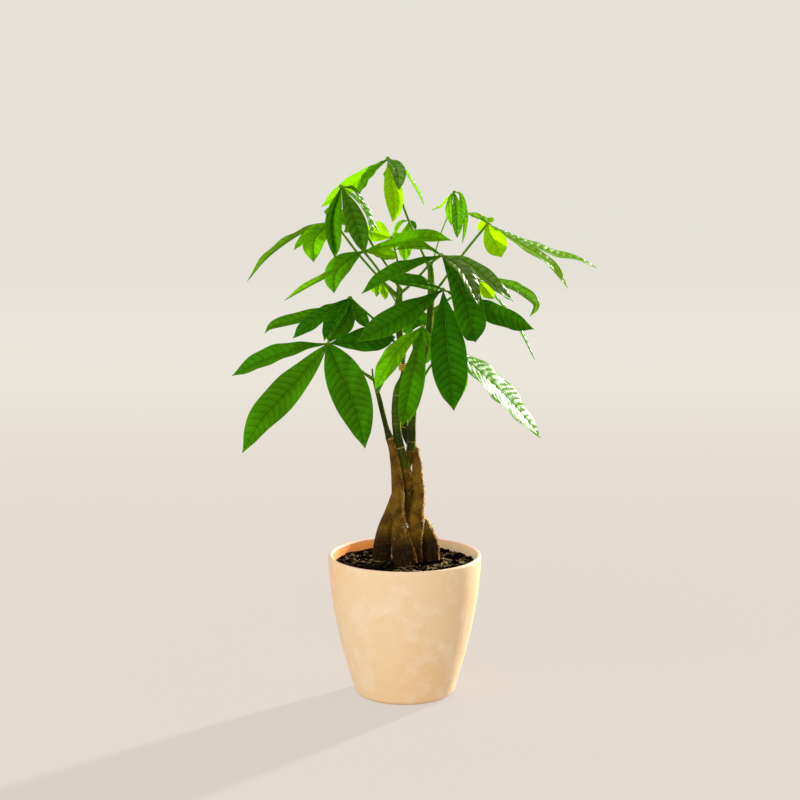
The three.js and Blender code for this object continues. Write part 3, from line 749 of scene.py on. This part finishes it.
def peeling(rings, middles, low):
    """Strews scraps over a trunk's lowest rings."""
    for _ in range(SCRAPS):
        i = int(low * draw.beta(1, 1.6))
        spot = rings[i, draw.integers(0, TRUNK_SIDES)]
        out = spot - middles[i]
        out /= np.linalg.norm(out)
        size = draw.uniform(*SCRAP_SIZE)
        scrap = lump(spot / MM + out * SCRAP_OUT, size, draw.uniform(*SCRAP_FLATNESS))
        if out @ SUN_SIDE > draw.uniform(-0.6, 0.9):
            scraps.append(tinted(scrap, draw.uniform(0.15, 0.8), 0))


print("tries for scraps on each trunk:", SCRAPS)

# %% The trunks
STEPS_A_SPAN = 10
FLARE_TOP = 0.045  # metres above the soil up to which the bark is old and split
SCAR_HEIGHT = 0.0012  # metres
SCAR_DEPTH = 0.07  # this and the next are shares of the radius
UNEVEN, UNEVEN_ROUND, UNEVEN_UP = 0.05, 1.6, 38  # depth, and the noise's scales
RIDGE, RIDGE_ROUND, RIDGE_UP = 0.015, 4.5, 16
RIDGE_AT_FOOT = 0.10  # how much deeper the ridges are at the soil
STEM_END = (0.8, 0.5, 0.15)  # how wide the rings of a stem's rounded end are


def trunk(name, seed, green_from, scars, places):
    """A trunk and the green stem above it, in one piece."""
    line = path([[*at(place), place[3]] for place in places], STEPS_A_SPAN)
    points, radii = line[:, :3], line[:, 3] * MM
    along = unit(np.gradient(points, axis=0))
    height = points[:, 2]
    soil_height = (POT_HEIGHT - SOIL_BELOW_RIM) * MM
    foot = np.clip(1 - (height - soil_height) / FLARE_TOP, 0, 1)
    over = height - at([405, green_from, 0])[2]
    rims = sum(np.exp(-(((height - at([405, v, 0])[2]) / SCAR_HEIGHT) ** 2)) for v in scars)
    turn = TURN * np.arange(TRUNK_SIDES) / TRUNK_SIDES
    relief = np.ones((len(points), TRUNK_SIDES))
    for i in range(len(points)):
        ridge = RIDGE + RIDGE_AT_FOOT * foot[i]
        for j in range(TRUNK_SIDES):
            x, y = cos(turn[j]), sin(turn[j])
            wide = Vector((x * UNEVEN_ROUND + seed, y * UNEVEN_ROUND, height[i] * UNEVEN_UP))
            fine = Vector((x * RIDGE_ROUND, y * RIDGE_ROUND + seed, height[i] * RIDGE_UP))
            relief[i, j] += noise.noise(wide) * UNEVEN + noise.noise(fine) * ridge
            relief[i, j] += SCAR_DEPTH * rims[i]
    rings, grain = tube(points, along, radii, TRUNK_SIDES, relief)
    peeling(rings, points, np.count_nonzero(over < 0))
    marks = np.stack([over, np.clip(rims, 0, 1), foot], axis=-1)
    marks = np.repeat(marks[:, None], TRUNK_SIDES, axis=1)
    first, tip = (ring.mean(axis=1, keepdims=True) for ring in (rings[:1], rings[-1:]))
    cap = along[-1] * radii[-1] * 0.6
    ends = [tip + (rings[-1:] - tip) * s + cap * (1 - s * s) ** 0.5 for s in STEM_END]
    rings = np.concatenate([first + (rings[:1] - first) * 0.4, rings, *ends])
    layers = {"grain": grain, "bark_place": marks}
    layers = {k: np.concatenate([v[:1], v, *[v[-1:]] * len(ends)]) for k, v in layers.items()}
    piece("fine_" + name, skin(rings, layers), [bark], name, sharp=180)


print("a trunk has", TRUNK_SIDES, "sides")

# %% [markdown]
# ## Where the trunks run
# Of each trunk the photograph gives the line. A place is [u, v, back, radius]: a pixel, mm behind
# the pot's middle, and mm. Before the places stand the v at which the bark turns green, and those
# of its scars. The seed moves the noise that makes a trunk uneven, so no two are alike.

# %% Where the trunks run
trunk("trunk_front", 0.0, 437, [437, 498, 541], [
    [405, 612, -4, 5], [405, 592, -5, 10], [405.5, 568, -7, 14], [403.5, 550, -7, 12.6],
    [401, 538, -7, 10.6], [399, 525, -6, 8.4], [398, 510, -5, 7.2], [398, 492, -4, 6.9],
    [396.8, 475, -3, 6.2], [395, 460, -3, 5.6], [393, 447, -4, 5.1], [389.8, 438, -6, 4.4],
    [386.5, 428, -7, 3], [380.5, 404, -8, 2.8], [376.5, 389, -9, 2.2], [374.2, 382, -9, 1.4],
    [372.8, 376, -9, 1], [372.3, 369, -9, 0.9],
])
trunk("trunk_right", 7.3, 467, [394, 411, 423, 446], [
    [434, 600, 14, 4], [432, 585, 14, 8], [430.5, 560, 12, 11], [430, 545, 12, 10.4],
    [424, 529, 13, 10], [414.4, 518, 12.5, 10.6], [411.4, 508, 11, 8.3], [410, 495, 8, 6.2],
    [408.5, 480, 3, 5.8], [405, 465, -2, 5.2], [400.8, 450, -5, 4.9], [397.6, 436, -5, 4.8],
    [396, 420, -4, 4.7], [396, 402, -4, 4.5], [398, 388, -4, 4], [401.8, 378, -3, 2.7],
    [402.7, 372, -2.6, 2.1], [402.8, 361, -2.4, 2.1], [401.4, 350, 0, 3],
    [399.4, 332, 4, 3.8], [399, 308, 5, 4.1], [399.6, 288, 5, 3.4],
])
trunk("trunk_middle", 14.6, 447, [427, 474, 520], [
    [420, 605, 5, 4], [418, 588, 3, 6.4], [416, 562, -1, 7.6], [415, 545, -3, 7.8],
    [416, 528, -5, 8.6], [417.3, 510, -5, 7.9], [419, 492, -4, 6.2], [417.5, 474, -1, 6],
    [416.5, 460, 3, 5.2], [413, 448, 8, 5], [407, 437, 10, 4.6], [404.4, 427, 9, 4.4],
    [404.5, 414, 5, 3.6], [404, 398, 3, 3.2], [403.6, 384, 3, 2.8], [403, 374, 2.6, 2.1],
    [403, 362, 2.4, 2.1], [404, 354, 3, 2.4],
])
trunk("trunk_left", 21.9, 449, [385, 408, 440, 484], [
    [380, 602, 10, 4], [381, 588, 11, 8], [382.4, 561, 13, 11.3], [383.4, 545, 13, 10.5],
    [386.3, 528, 12, 9.2], [391, 513, 12, 7.4], [396, 499, 12, 6.8], [401, 484, 12, 6.2],
    [405.5, 470, 11, 5.4], [409.5, 456, 6, 4.9], [411.5, 442, 0, 4.8], [411.8, 428, -2, 4.6],
    [413, 408, 1, 4.2], [418, 385, 7, 3.8], [423, 360, 11, 3.8], [428.5, 332, 12, 3.8],
    [430.8, 300, 12, 3.9], [431, 275, 12, 3.6], [430, 263, 12, 2.6],
])
piece("bark_flakes", joined(scraps), [litter], sharp=20)

# %% [markdown]
# ## The tie
# A length of golden twine holds the top of the braid. Two plies twist round each other, so the
# twine is two thin tubes that follow one line round the stems and also turn about it.

# %% Twine
twine, wire, place = new_finish("golden twine")
hairs = cloudy(place, 1500, 3)
colour = blended(rising(hairs, 0.4, 0.7), (0.72, 0.42, 0.015, 1), (1.0, 0.76, 0.06, 1))
covered(wire, colour, raised(hairs, 0.0004), rough=0.8, specular=0.5)

TIE_PLACE = [402.8, 367, 0]
TIE_TURNS = 4
TIE_HEIGHT = 10
TIE_HALF = (3.2, 5.6)  # mm, half the two stems' width and depth together
TIE_GAP = 0.12
PLY = 0.52  # mm, a ply's radius
APART = PLY * 0.8  # from the twine's middle line to a ply's
TWIST = 9  # plies' turns about each other for each turn round the stems
STEPS_A_TURN = 60


def ply(phase):
    share = np.linspace(0, 1, STEPS_A_TURN * TIE_TURNS)
    turn = TURN * TIE_TURNS * share
    twist = turn * TWIST + phase
    out = TIE_GAP + PLY + APART * np.cos(twist)
    reach = TIE_HEIGHT / 2 - 2 * PLY
    lift = reach * (2 * share - 1) + APART * np.sin(twist)
    wide, deep = (half + out for half in TIE_HALF)
    spots = np.stack([wide * np.cos(turn), deep * np.sin(turn), lift], axis=-1)
    points = at(TIE_PLACE) + spots * MM
    along = unit(np.gradient(points, axis=0))
    return skin(tube(points, along, np.full(len(points), PLY * MM), 8)[0], {})


piece("twine_tie", joined([ply(0), ply(pi)]), [twine], "tie", sharp=180)

# %% [markdown]
# ## The leaflets
# A leaflet is a thin blade with a sunken midrib, side veins that run forward like a fish's bones,
# and a skin that bulges a little between them. It is modelled as a thin closed skin, so it has an
# upper face, a paler under face and an edge. Each corner of the mesh carries how far it lies from
# the midrib, how far along, and how many side veins it has passed: the finish draws the veins from
# those, so they follow the blade however it bends. Light from behind comes through the blade: a
# part of its shader is therefore translucent, more in a young leaflet than in an old one.

# %% The leaflets' finish
leaf_green, wire, place = new_finish("leaflet")
off_rib, share, passed = layer(wire, "blade_place")
# The first number is a leaflet's lime: partly its age, partly painted light, raised on leaflets that glow
# lit from behind or lie in shade.
young, under, off = layer(wire, "blade_kind")
gloss, olive, _ = layer(wire, "blade_look")
old = 1 - young
run = passed + (cloudy(place, 70, 2) - 0.5) * 0.3
from_vein = wire.node("Math", {"operation": "PINGPONG"}, {0: run, 1: 0.5})
in_lobe = wire.node("Math", {"operation": "FRACT"}, {0: run})
veins = (1 - rising(from_vein, 0.015, 0.07)) * (1 - rising(off, 0.7, 1.0))
# Painted shade of the quilted relief: each lobe is lighter just past a vein and darker towards the next.
painted_lobe_shade = (1 - in_lobe) * rising(in_lobe, 0.04, 0.3)
rib = off_rib / (1 - share * 0.7)
rib_line = 1 - rising(rib, 0.3, 0.75)
rib_sides = rising(rib, 0.55, 0.9) * (1 - rising(rib, 1.1, 2.2))
mottle = cloudy(place, 60, 4)
crumple = cloudy(place, 110, 3)
freckles = rising(cloudy(place, 150, 2), 0.72, 0.78)
margin = rising(off, 0.93, 1.0)
tip = rising(share, 0.92, 1.0)

# At full lime the upper face is painted a pale lime green: on leaflets whose lime was raised for the light,
# a painted backlight.
dark = blended(young, (0.0040, 0.060, 0.0004, 1), (0.18, 0.42, 0.001, 1))
light = blended(young, (0.016, 0.138, 0.0009, 1), (0.26, 0.53, 0.002, 1))
upper = coated(
    blended(painted_lobe_shade * 0.45 + rising(mottle, 0.3, 0.75) * 0.45, dark, light),
    # The upper face's darker vein lines are partly the veins' own colour, partly painted shade in their
    # creases.
    (veins * (0.15 + old * 0.45), (0.008, 0.045, 0.0002, 1)),
    (rib_sides * (0.15 + old * 0.4), (0.006, 0.035, 0.0002, 1)),
    (rib_line * 0.85, (0.12, 0.34, 0.004, 1)),
    (margin * 0.35 + tip * 0.5, (0.14, 0.30, 0.003, 1)),
    (olive, (0.10, 0.125, 0.003, 1)),
    (freckles * old * 0.35, (0.10, 0.075, 0.008, 1)),
)
lower = coated(
    blended(young, (0.045, 0.15, 0.002, 1), (0.16, 0.40, 0.003, 1)),
    (rib_line * 0.7 + veins * 0.3, (0.10, 0.26, 0.01, 1)),
)
glow = coated(
    blended(young, (0.17, 0.87, 0.0004, 1), (0.74, 1.0, 0.002, 1)),
    (olive, (0.48, 0.56, 0.006, 1)),
    ((veins * 0.4 + rib_sides * 0.4) * (0.2 + old * 0.8), (0.07, 0.28, 0.0002, 1)),
)
pillow = rising(from_vein, 0.0, 0.5) * (1 - rising(off, 0.6, 1.0))
patchy = 0.2 + rising(crumple + pillow * 0.2, 0.48, 0.64) * 0.8
relief = pillow * 0.33 * rising(mottle, 0.2, 0.7) + crumple * 0.55 - veins * 0.12 - rib_line * 0.3
covered(
    wire,
    blended(under, upper, lower),
    raised(relief, 0.0013),
    rough=0.6,
    shine=gloss * patchy * (1 - veins * 0.8) * (1 - rib_sides * 0.6),
    behind=(glow, 0.11 + young * 0.56),
)
print("finish:", leaf_green.name)

# %% The stalks' finish
stalk_green, wire, place = new_finish("leaf stalk")
young, swollen, _ = layer(wire, "blade_kind")
speckle = cloudy(place, 500, 3)
colour = coated(
    blended(rising(speckle, 0.4, 0.7), (0.045, 0.15, 0.0008, 1), (0.12, 0.29, 0.002, 1)),
    (young * 0.7, (0.24, 0.52, 0.006, 1)),
    (swollen * 0.6, (0.20, 0.28, 0.012, 1)),
)
covered(wire, colour, raised(speckle, 0.0003), rough=0.45, specular=0.05)
print("finish:", stalk_green.name)

# %% A leaflet's shape
STATIONS = np.concatenate([[0.0, 0.012, 0.03], np.linspace(0.05, 0.95, 55), [0.965, 0.98, 0.99, 0.997]])
HALF_ACROSS = np.array([0, 0.035, 0.08, 0.16, 0.28, 0.42, 0.56, 0.7, 0.83, 0.93, 1.0])
ACROSS = np.concatenate([-HALF_ACROSS[:0:-1], HALF_ACROSS])
THICK = 0.42  # mm
STOUT = 1.0  # mm, how much thicker the blade is on both sides where it leaves its short stalk
PETIOLULE = 1.1  # mm, half the width of a leaflet's own short stalk
GROOVE = 0.18  # mm, how deep the midrib lies in the upper face
KEEL = 0.75  # mm, how far it stands out below
RIB_HALF = 0.8  # mm, half its width
VEIN_EVERY = 8.2  # mm along the midrib
YOUNG_VEINS = 1.6  # a young leaf has this many times as many
VEIN_LEAN = 0.22  # how far a side vein runs forward for each mm outwards, next to the midrib
VEIN_SWEEP = 0.45  # how much further at the margin, as a share of half a width
BULGE = 0.8  # mm, how far the blade stands up between two side veins
RIPPLE = 0.032  # how far the margin waves up and down, as a share of the width
RIPPLES = (2.2, 4.2)  # how many waves a margin has
TIP = 0.88  # share of the length from which the tip runs straight to its point
WIDEST = 0.59  # share of the length at which most leaflets are widest
FOLD = 16  # degrees, how far most leaflets fold up along their midrib
GLOSS = 0.03  # how much most leaflets shine
VIEWER = np.array([0, -cos(PITCH), sin(PITCH)])


def half_width(share, width, widest):
    """Half a leaflet's width: a wedge at the stalk, widest past the middle, drawn out to a point."""
    body = np.sin(pi * np.minimum(share, TIP) ** (log(0.5) / log(widest))) ** 0.85
    point = np.where(share > TIP, ((1 - share) / (1 - TIP)) ** 1.15, 1.0)
    return np.maximum(width / 2 * body * point, PETIOLULE * np.clip(1 - share / 0.1, 0.08, 1))


def facing(along, turn):
    """Where the upper face looks at each station. turn 0 shows its broad side to the viewer."""
    front = unit(VIEWER - along * (along @ VIEWER)[:, None])
    side = np.cross(along, front)
    if side[3, 2] + 0.3 * side[3, 0] < 0:
        side = -side
    for i in range(4, len(side)):
        if side[i] @ side[i - 1] < 0:
            side[i] = -side[i]
    angle = radians(turn)
    return front * cos(angle) + side * sin(angle)


def blade(width, turn, lime_and_painted_backlight, *spine, widest=WIDEST, fold=FOLD, gloss=GLOSS, olive=0):
    """What is told of a leaflet. olive is how far its green has yellowed, the rest is told below."""
    return width, turn, lime_and_painted_backlight, spine, widest, fold, gloss, olive


print("a leaflet has", len(STATIONS), "rings of", 2 * len(ACROSS))

# %% A leaflet
draw = np.random.default_rng(5)


def closed(above, below):
    """Rings that run over the upper face and back under the lower one."""
    return np.concatenate([above, below[:, ::-1]], axis=1)


def leaflet(hub, plan, grown):
    """One blade from the hub out, as a closed skin."""
    width, turn, lime_and_painted_backlight, spine, widest, fold, gloss, olive = plan
    rib, along, length = spaced(path([hub, *[at(place) for place in spine]], 24), STATIONS)
    up = facing(along, turn)
    out = np.cross(along, up)
    length /= MM
    share, off = STATIONS[:, None], np.abs(ACROSS)
    half = half_width(share, width, widest)
    from_rib = off * half
    rise = radians(fold)
    count = max(4, round(length / VEIN_EVERY * (1 if grown else YOUNG_VEINS)))
    forward = from_rib * (VEIN_LEAN + VEIN_SWEEP * off)
    passed = np.maximum((share * length - forward) / length * count, 0)
    fade = np.sin(pi * share) ** 0.6
    bulge = BULGE * np.abs(np.sin(pi * passed)) * np.sin(pi * off) ** 0.7 * fade
    waves, lag = draw.uniform(*RIPPLES, 2), draw.uniform(0, TURN, 2)
    which = (ACROSS > 0).astype(int)
    ripple = np.sin(TURN * waves[which] * share + lag[which]) * off**2.5 * fade
    arch = half * sin(rise) * off * (1 + 0.7 * (1 - off))
    lift = arch + bulge + ripple * width * RIPPLE
    spread = ACROSS * half * cos(rise)
    groove = np.exp(-((from_rib / RIB_HALF) ** 2)) * (1 - share * 0.8)
    thin = (0.35 + 0.65 * np.clip((1 - share) / 0.06, 0, 1)) * (1 - 0.5 * off**8)
    half_thick = (THICK / 2 + STOUT * np.exp(-share / 0.035)) * thin
    top = lift + half_thick - GROOVE * groove
    bottom = lift - half_thick - KEEL * groove * (1 if grown else 0.5)
    upper, lower = (
        rib[:, None] + (out[:, None] * spread[..., None] + up[:, None] * face[..., None]) * MM
        for face in (top, bottom)
    )
    full = np.ones_like(spread)
    place = np.stack([from_rib, full * share, passed], axis=-1)
    kind = np.stack([full * lime_and_painted_backlight, full * 0, full * off], axis=-1)
    look = np.stack([full * gloss, full * olive, full * 0], axis=-1)
    layers = {
        "blade_place": closed(place, place),
        "blade_kind": closed(kind, kind + [0, 1, 0]),
        "blade_look": closed(look, look),
    }
    return skin(closed(upper, lower), layers)


print("leaflets are ready")

# %% Stalks and knuckles
STALK_RADIUS = 1.3
STALK_FOOT_RADIUS = 2.4  # the swollen joint where a stalk meets its stem
STALK_END = 0.5  # how much the radius swells at the knuckle
FOOT_FADE = 0.12  # how fast a swelling dies away, for each mm
END_FADE = 0.25
STALK_RINGS = 34
HUB_RADIUS = 2.6  # the knuckle that a leaf's leaflets grow from
YOUNG = 0.55  # a young leaf's stalk and hub are this much of a grown one's


def plain_layers(rings, young, knuckle):
    kind = np.zeros(rings.shape) + [young, 0, 0]
    kind[..., 1] = knuckle
    return {"blade_place": 0 * kind, "blade_kind": kind, "blade_look": 0 * kind}


def stalk(places, size, young):
    shares = np.linspace(0, 1, STALK_RINGS)
    points, along, length = spaced(path(places, 12), shares)
    foot = np.exp(-length / MM * shares * FOOT_FADE)
    swollen = np.exp(-length / MM * (1 - shares) * END_FADE)
    thicker = (STALK_FOOT_RADIUS - STALK_RADIUS) * foot + STALK_END * swollen
    rings, _ = tube(points, along, size * (STALK_RADIUS + thicker) * MM, 10)
    return skin(rings, plain_layers(rings, young, np.maximum(foot * 0.5, swollen)[:, None]))


def knuckle(middle, size, young):
    """The rounded joint at the end of a stalk."""
    turn = np.linspace(-1.45, 1.45, 9)
    outline = np.stack([np.cos(turn), 0.85 * np.sin(turn)], axis=-1) * HUB_RADIUS * size
    rings = turned(outline, 14) + middle
    return skin(rings, plain_layers(rings, young, 1.0))


def leaf(name, places, *blades):
    """A stalk through its places, a knuckle at the last, and the leaflets, in one piece."""
    line = [at(place) for place in places]
    grown = not name.startswith("young")
    look = (1, 0.2) if grown else (YOUNG, 0.9)
    soft = [stalk(line, *look), knuckle(line[-1], *look)]
    green = [leaflet(line[-1], plan, grown) for plan in blades]
    kinds = [0] * sum(len(part[1]) for part in green) + [1] * sum(len(part[1]) for part in soft)
    finishes = [leaf_green, stalk_green]
    piece("fine_" + name, joined(green + soft), finishes, name, kinds, sharp=60)


print("a stalk and a knuckle are ready")

# %% [markdown]
# ## Where the leaves are
# Every leaf that the photograph shows is told on its own: first the places of its stalk, the last
# of them the knuckle where its leaflets meet. Then, for each leaflet, its real width, the turn of
# its face in degrees, how lime it is, 0 for an old dark one and 1 for a young one that light shines
# through, and the line of its midrib. How lime a leaflet is, is partly its age and partly painted
# light: it is set higher on leaflets that glow lit from behind or lie in shade, which paints them
# paler. A place is [u, v, back]: a pixel, and mm behind the pot's middle. Two leaves at the back,
# which the camera can't see, are guessed.

# %% The low leaves at the left
leaf("leaf_low_left", [[373, 379, -9], [364, 373, -16], [346, 356, -34], [328.5, 343.5, -45]],
    blade(27, 42, 0.2, [304, 347.5, -46], [269, 358, -44], [231.5, 376.2, -40]),
    blade(38, 22, 0.24, [291.5, 388, -64], [261, 421.5, -72], [242, 453.5, -75], widest=0.53),
    blade(44, 6, 0.18, [348, 388, -66], [359.5, 422, -72], [365.3, 449, -75], widest=0.46),
    blade(29, 12, 0.12, [363, 340.5, -40], [396, 337, -24]),
    blade(26, 5, 0.22, [333, 332, -16], [339, 328, 14]),
)
leaf("leaf_left", [[400, 352, 5], [392, 339, -4], [375, 320, -18], [360, 307, -25], [350, 298, -28]],
    blade(22, 52, 0.22, [326, 310, -27], [288, 322.5, -26], [271, 327, -22], [264.3, 334, -20],
          widest=0.66, olive=0.12),
    blade(24, 40, 0.1, [321, 317, -46], [292.5, 338.5, -54]),
    blade(26, 45, 0.05, [337, 317, -60], [324, 341, -76]),
    blade(24, 25, 0.2, [345, 318, -50], [332, 341, -58]),
    blade(18, 35, 0.15, [359, 316, -46], [369, 329, -50]),
)

# %% The leaves at the upper left
leaf("leaf_upper_left_back",
    [[399, 297, 5], [376, 274, 10], [356, 251, 14], [342, 232, 15], [335, 221.5, 15]],
    blade(26, 72, 0.5, [316, 226, 15], [300, 234, 15], [269, 256.5, 18], [247, 281.5, 20],
          gloss=0.2, olive=0.4),
    blade(17, 50, 0.5, [310, 235, -2], [293.5, 250.5, -10], olive=0.2),
    blade(27, 15, 0.62, [315, 240, -14], [313.5, 262.5, -25]),
    blade(20, 20, 0.5, [344, 222, 30], [352, 231, 42]),
    blade(26, 0, 0.5, [335, 214, 60], [336, 216, 96]),
)
leaf("leaf_upper_left",
    [[399.5, 288, 5], [388, 267, 0], [373, 246, -10], [356, 213, -28], [341, 186.5, -40]],
    blade(34, 12, 0.35, [331, 222, -58], [335, 259, -62], fold=58),
    blade(23, 15, 0.18, [353, 216, -60], [365, 254, -68], gloss=0.1, olive=0.1),
    blade(22, 80, 0.4, [354, 190, -26], [363, 209, -18], [379.5, 233, -16], gloss=0.6, olive=0.2),
    blade(22, 72, 0.6, [359, 203, -46], [368, 219, -50], [371.5, 238, -50], gloss=1),
)

# %% The leaves at the top
leaf("leaf_top", [[430, 268, 12], [424, 256, 9], [412, 229, 3], [398, 191, -2], [388, 158.5, -5]],
    blade(21, 30, 0.75, [356.5, 182.5, 26], [321, 207, 48]),
    blade(24, 62, 0.42, [372, 174.5, 8], [357, 196, 18]),
    blade(21, 10, 1, [392.5, 189, -28], [394.5, 210, -34], [392, 223, -38]),
    blade(19, 25, 0.35, [397, 171, -44], [399, 190.5, -60], gloss=0.8, olive=0.3),
    blade(18, 84, 0.8, [405, 172, -4], [414.5, 187, -3], [424.5, 205.5, -2], gloss=0.5),
    blade(22, 0, 0.5, [392, 168, 28], [394, 186, 52]),
)
leaf("young_leaf_top", [[430.8, 280, 12], [424, 256, 24], [409.5, 220.5, 18]],
    blade(7, 40, 0.7, [402, 222, 16], [397.5, 227.5, 15], [395, 236, 12], gloss=0.3),
    blade(17, 10, 0.7, [405, 240, 12], [405, 262, 10]),
    blade(6, 30, 0.3, [413, 223, 14], [415.5, 230, 10], gloss=0.3),
)
leaf("leaf_upper_back", [[399.3, 300, 5], [399, 285, 16], [398, 264, 26], [392, 238, 40]],
    blade(27, 20, 0.9, [380, 234, 44], [365, 229, 46]),
    blade(16, 20, 0.9, [388, 247, 30], [385, 254, 24]),
    blade(16, 60, 0.9, [402, 238, 54], [411, 242, 66]),
    blade(22, 0, 0.7, [394, 240, 70], [396, 248, 98]),
)

# %% The leaves in the middle
leaf("leaf_centre_left", [[399, 299, 5], [387, 287, -8], [379, 271, -22], [363.5, 251, -35]],
    blade(25, 15, 0.4, [345, 262.5, -50], [334.5, 276.5, -56], [334, 293.5, -60]),
    blade(24, 72, 0.7, [338, 270.5, -36], [312, 285, -31], [284, 300.8, -28], olive=0.15),
    blade(22, 42, 0.8, [379, 253.5, -26], [398, 257, -20], olive=0.2),
    blade(24, 46, 0.5, [392, 244.5, -40], [425, 237.5, -48], [452.5, 240.5, -50]),
)
leaf("young_leaf_centre", [[399, 307, 5], [391, 294, 5], [381, 281, 3]],
    blade(9, 20, 0.9, [375, 285, 0], [373, 293, -2]),
    blade(8, 20, 0.9, [378, 290, -6], [376.5, 297, -9]),
    blade(9, 10, 0.9, [384, 291, 0], [385.5, 300, -1]),
)
leaf("leaf_centre", [[399, 294, 5], [408, 287, -2], [420, 275, -12], [431, 263, -36], [441.5, 255, -57]],
    blade(20, 60, 0.4, [423, 247.5, -66], [395.5, 249.5, -70]),
    blade(25, 50, 0.15, [418, 263.5, -72], [389, 275.5, -82], [361, 294, -84]),
    blade(34, 10, 0.1, [462.5, 291, -76], [472, 325, -82], [475.5, 342.5, -62]),
    blade(26, 50, 0.1, [463, 273, -92], [479, 306.5, -104], gloss=0.6, olive=0.5),
    blade(24, 50, 0.45, [465, 262, -56], [489, 281, -48], [513.3, 301.5, -34], gloss=0.8, olive=0.3),
    blade(16, 20, 0.3, [450, 263, -40], [458, 285, -24]),
)
leaf("leaf_centre_right", [[430.8, 300, 12], [437, 294, -6], [443, 289.5, -22]],
    blade(25, 50, 0.22, [417, 283.5, -38], [388, 280, -38]),
    blade(33, 28, 0.14, [402.5, 317, -56], [355.5, 342.5, -74]),
    blade(41, 5, 0.08, [447.5, 349, -60], [454, 411.5, -58]),
    blade(32, 42, 0.1, [487, 309, -24], [511, 318, -12], [534.5, 329.5, 0], fold=-8, gloss=0),
)

# %% The low leaves in front and at the right
leaf("leaf_low_front", [[377, 392, -9], [390, 370, -30], [397, 360, -38], [410, 343, -52], [423, 326, -62]],
    blade(26, 20, 0.24, [412.5, 375, -80], [401.5, 427.5, -78]),
    blade(25, 30, 0.5, [401, 348, -82], [385, 371, -87], [374.8, 390, -88]),
    blade(20, 20, 0.35, [416.5, 374, -56], [408.5, 424, -48]),
    blade(9, 20, 0.4, [427, 337, -70], [428.5, 348, -72]),
)
leaf("leaf_low_right", [[415.5, 397, 6], [426, 373, 2], [436, 359, 4], [447, 345, 8]],
    blade(51, 60, 0.6, [476, 369, 8], [497, 388, 12], [519, 411, 17], [541.3, 438.5, 24],
          widest=0.5, fold=4, gloss=0.95),
    blade(17, 15, 0.8, [457, 366, 2], [465, 392, 4]),
    blade(17, 15, 0.4, [454, 339, 44], [460, 333, 76]),
    blade(22, 25, 0.4, [443, 353, 44], [439, 368, 66]),
    blade(20, 10, 0.4, [448, 372, 18], [449, 395, 26]),
)

# %% The young leaves at the right
leaf("leaf_right_young", [[430, 312, 12], [452, 297, 30], [477, 279.5, 38]],
    blade(18, 10, 1, [485, 289, 36], [494, 299, 32]),
    blade(14, 30, 1, [474, 287, 28], [473, 297, 22]),
    blade(16, 40, 0.6, [492, 280.5, 42], [518, 289.5, 44], [535.5, 304.5, 43], [529.5, 317, 40],
          gloss=1, olive=0.2),
    blade(16, 80, 0.5, [498, 300, 38], [518, 328, 28], [535.3, 361, 18], gloss=1),
)
leaf("young_leaf_upper_right",
    [[430.5, 270, 12], [436, 250, 6], [441, 233, 2], [448, 215, -2], [454, 191.5, -5]],
    blade(9, 20, 0.7, [450.5, 197, -8], [449.5, 209, -9], [451.5, 226, -9], gloss=0.3),
    blade(13, 15, 0.5, [456, 203, -14], [457, 222, -16], [457, 238.5, -16], gloss=0.3),
    blade(10, 20, 0.6, [460, 194, -4], [462, 206, -4], [460.5, 227, -4], gloss=0.3),
    blade(8, 50, 0.8, [461.5, 195, 2], [465, 212, 4], [462.5, 244, 4], gloss=0.5),
    blade(6, 60, 1, [447, 199.5, -2], [442, 206, -2], [431, 210.5, -2]),
)
leaf("leaf_upper_right", [[431, 297, 12], [441, 284, 6], [457, 262, 2], [475, 239, -2], [488, 223.5, -5]],
    blade(27, 10, 1, [490.5, 233, -14], [501.5, 257.5, -18], widest=0.62),
    blade(12, 10, 0.95, [483.5, 225.5, 8], [477.5, 230, 14]),
    blade(13, 20, 0.9, [488.3, 220, 3], [487.5, 218, 12]),
    blade(11, 50, 0.8, [478, 217.5, 6], [467, 213, 12], gloss=0.5, olive=0.3),
    blade(22, 66, 0.8, [512, 236.5, 6], [556, 254.5, 24], [580, 260, 33], [597.5, 268.5, 42],
          fold=10, gloss=1, olive=0.2),
    blade(22, 60, 0.9, [514, 241, -2], [551, 265, 2], [568.3, 289, 12], fold=10, gloss=1, olive=0.3),
)

# %% The leaves at the back
leaf("leaf_back_high", [[399, 316, 5], [402, 312, 26], [408, 309, 46]],
    blade(24, 45, 0.3, [395, 315, 66], [380, 324, 76]),
    blade(22, 35, 0.3, [402, 319, 68], [394, 330, 80]),
    blade(22, 0, 0.3, [410, 313, 66], [412, 317, 86]),
    blade(18, 40, 0.3, [419, 304, 62], [430, 299, 72]),
    blade(24, 10, 0.3, [403, 310, 76], [397, 316, 102]),
)
leaf("leaf_back_low", [[424.5, 352, 11], [429, 340, 44], [436, 326, 80]],
    blade(30, 40, 0.3, [418, 322, 94], [402, 332, 104]),
    blade(34, 30, 0.3, [428, 342, 104], [420, 366, 112]),
    blade(36, 0, 0.3, [438, 322, 124], [441, 338, 150]),
    blade(34, 30, 0.3, [447, 341, 100], [452, 366, 108]),
    blade(30, 40, 0.3, [454, 322, 92], [469, 331, 100]),
)

# %% [markdown]
# ## The last lines
# The fine model must keep the size of the imported one, so both boxes are printed.

# %% Sizes, and the end
fine_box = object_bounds()
sizes = {"cad": [list(v) for v in cad_box], "fine": [list(v) for v in fine_box]}
for which, box in sizes.items():
    print(which, "box in mm:", [[round(v / MM, 1) for v in corner] for corner in box])
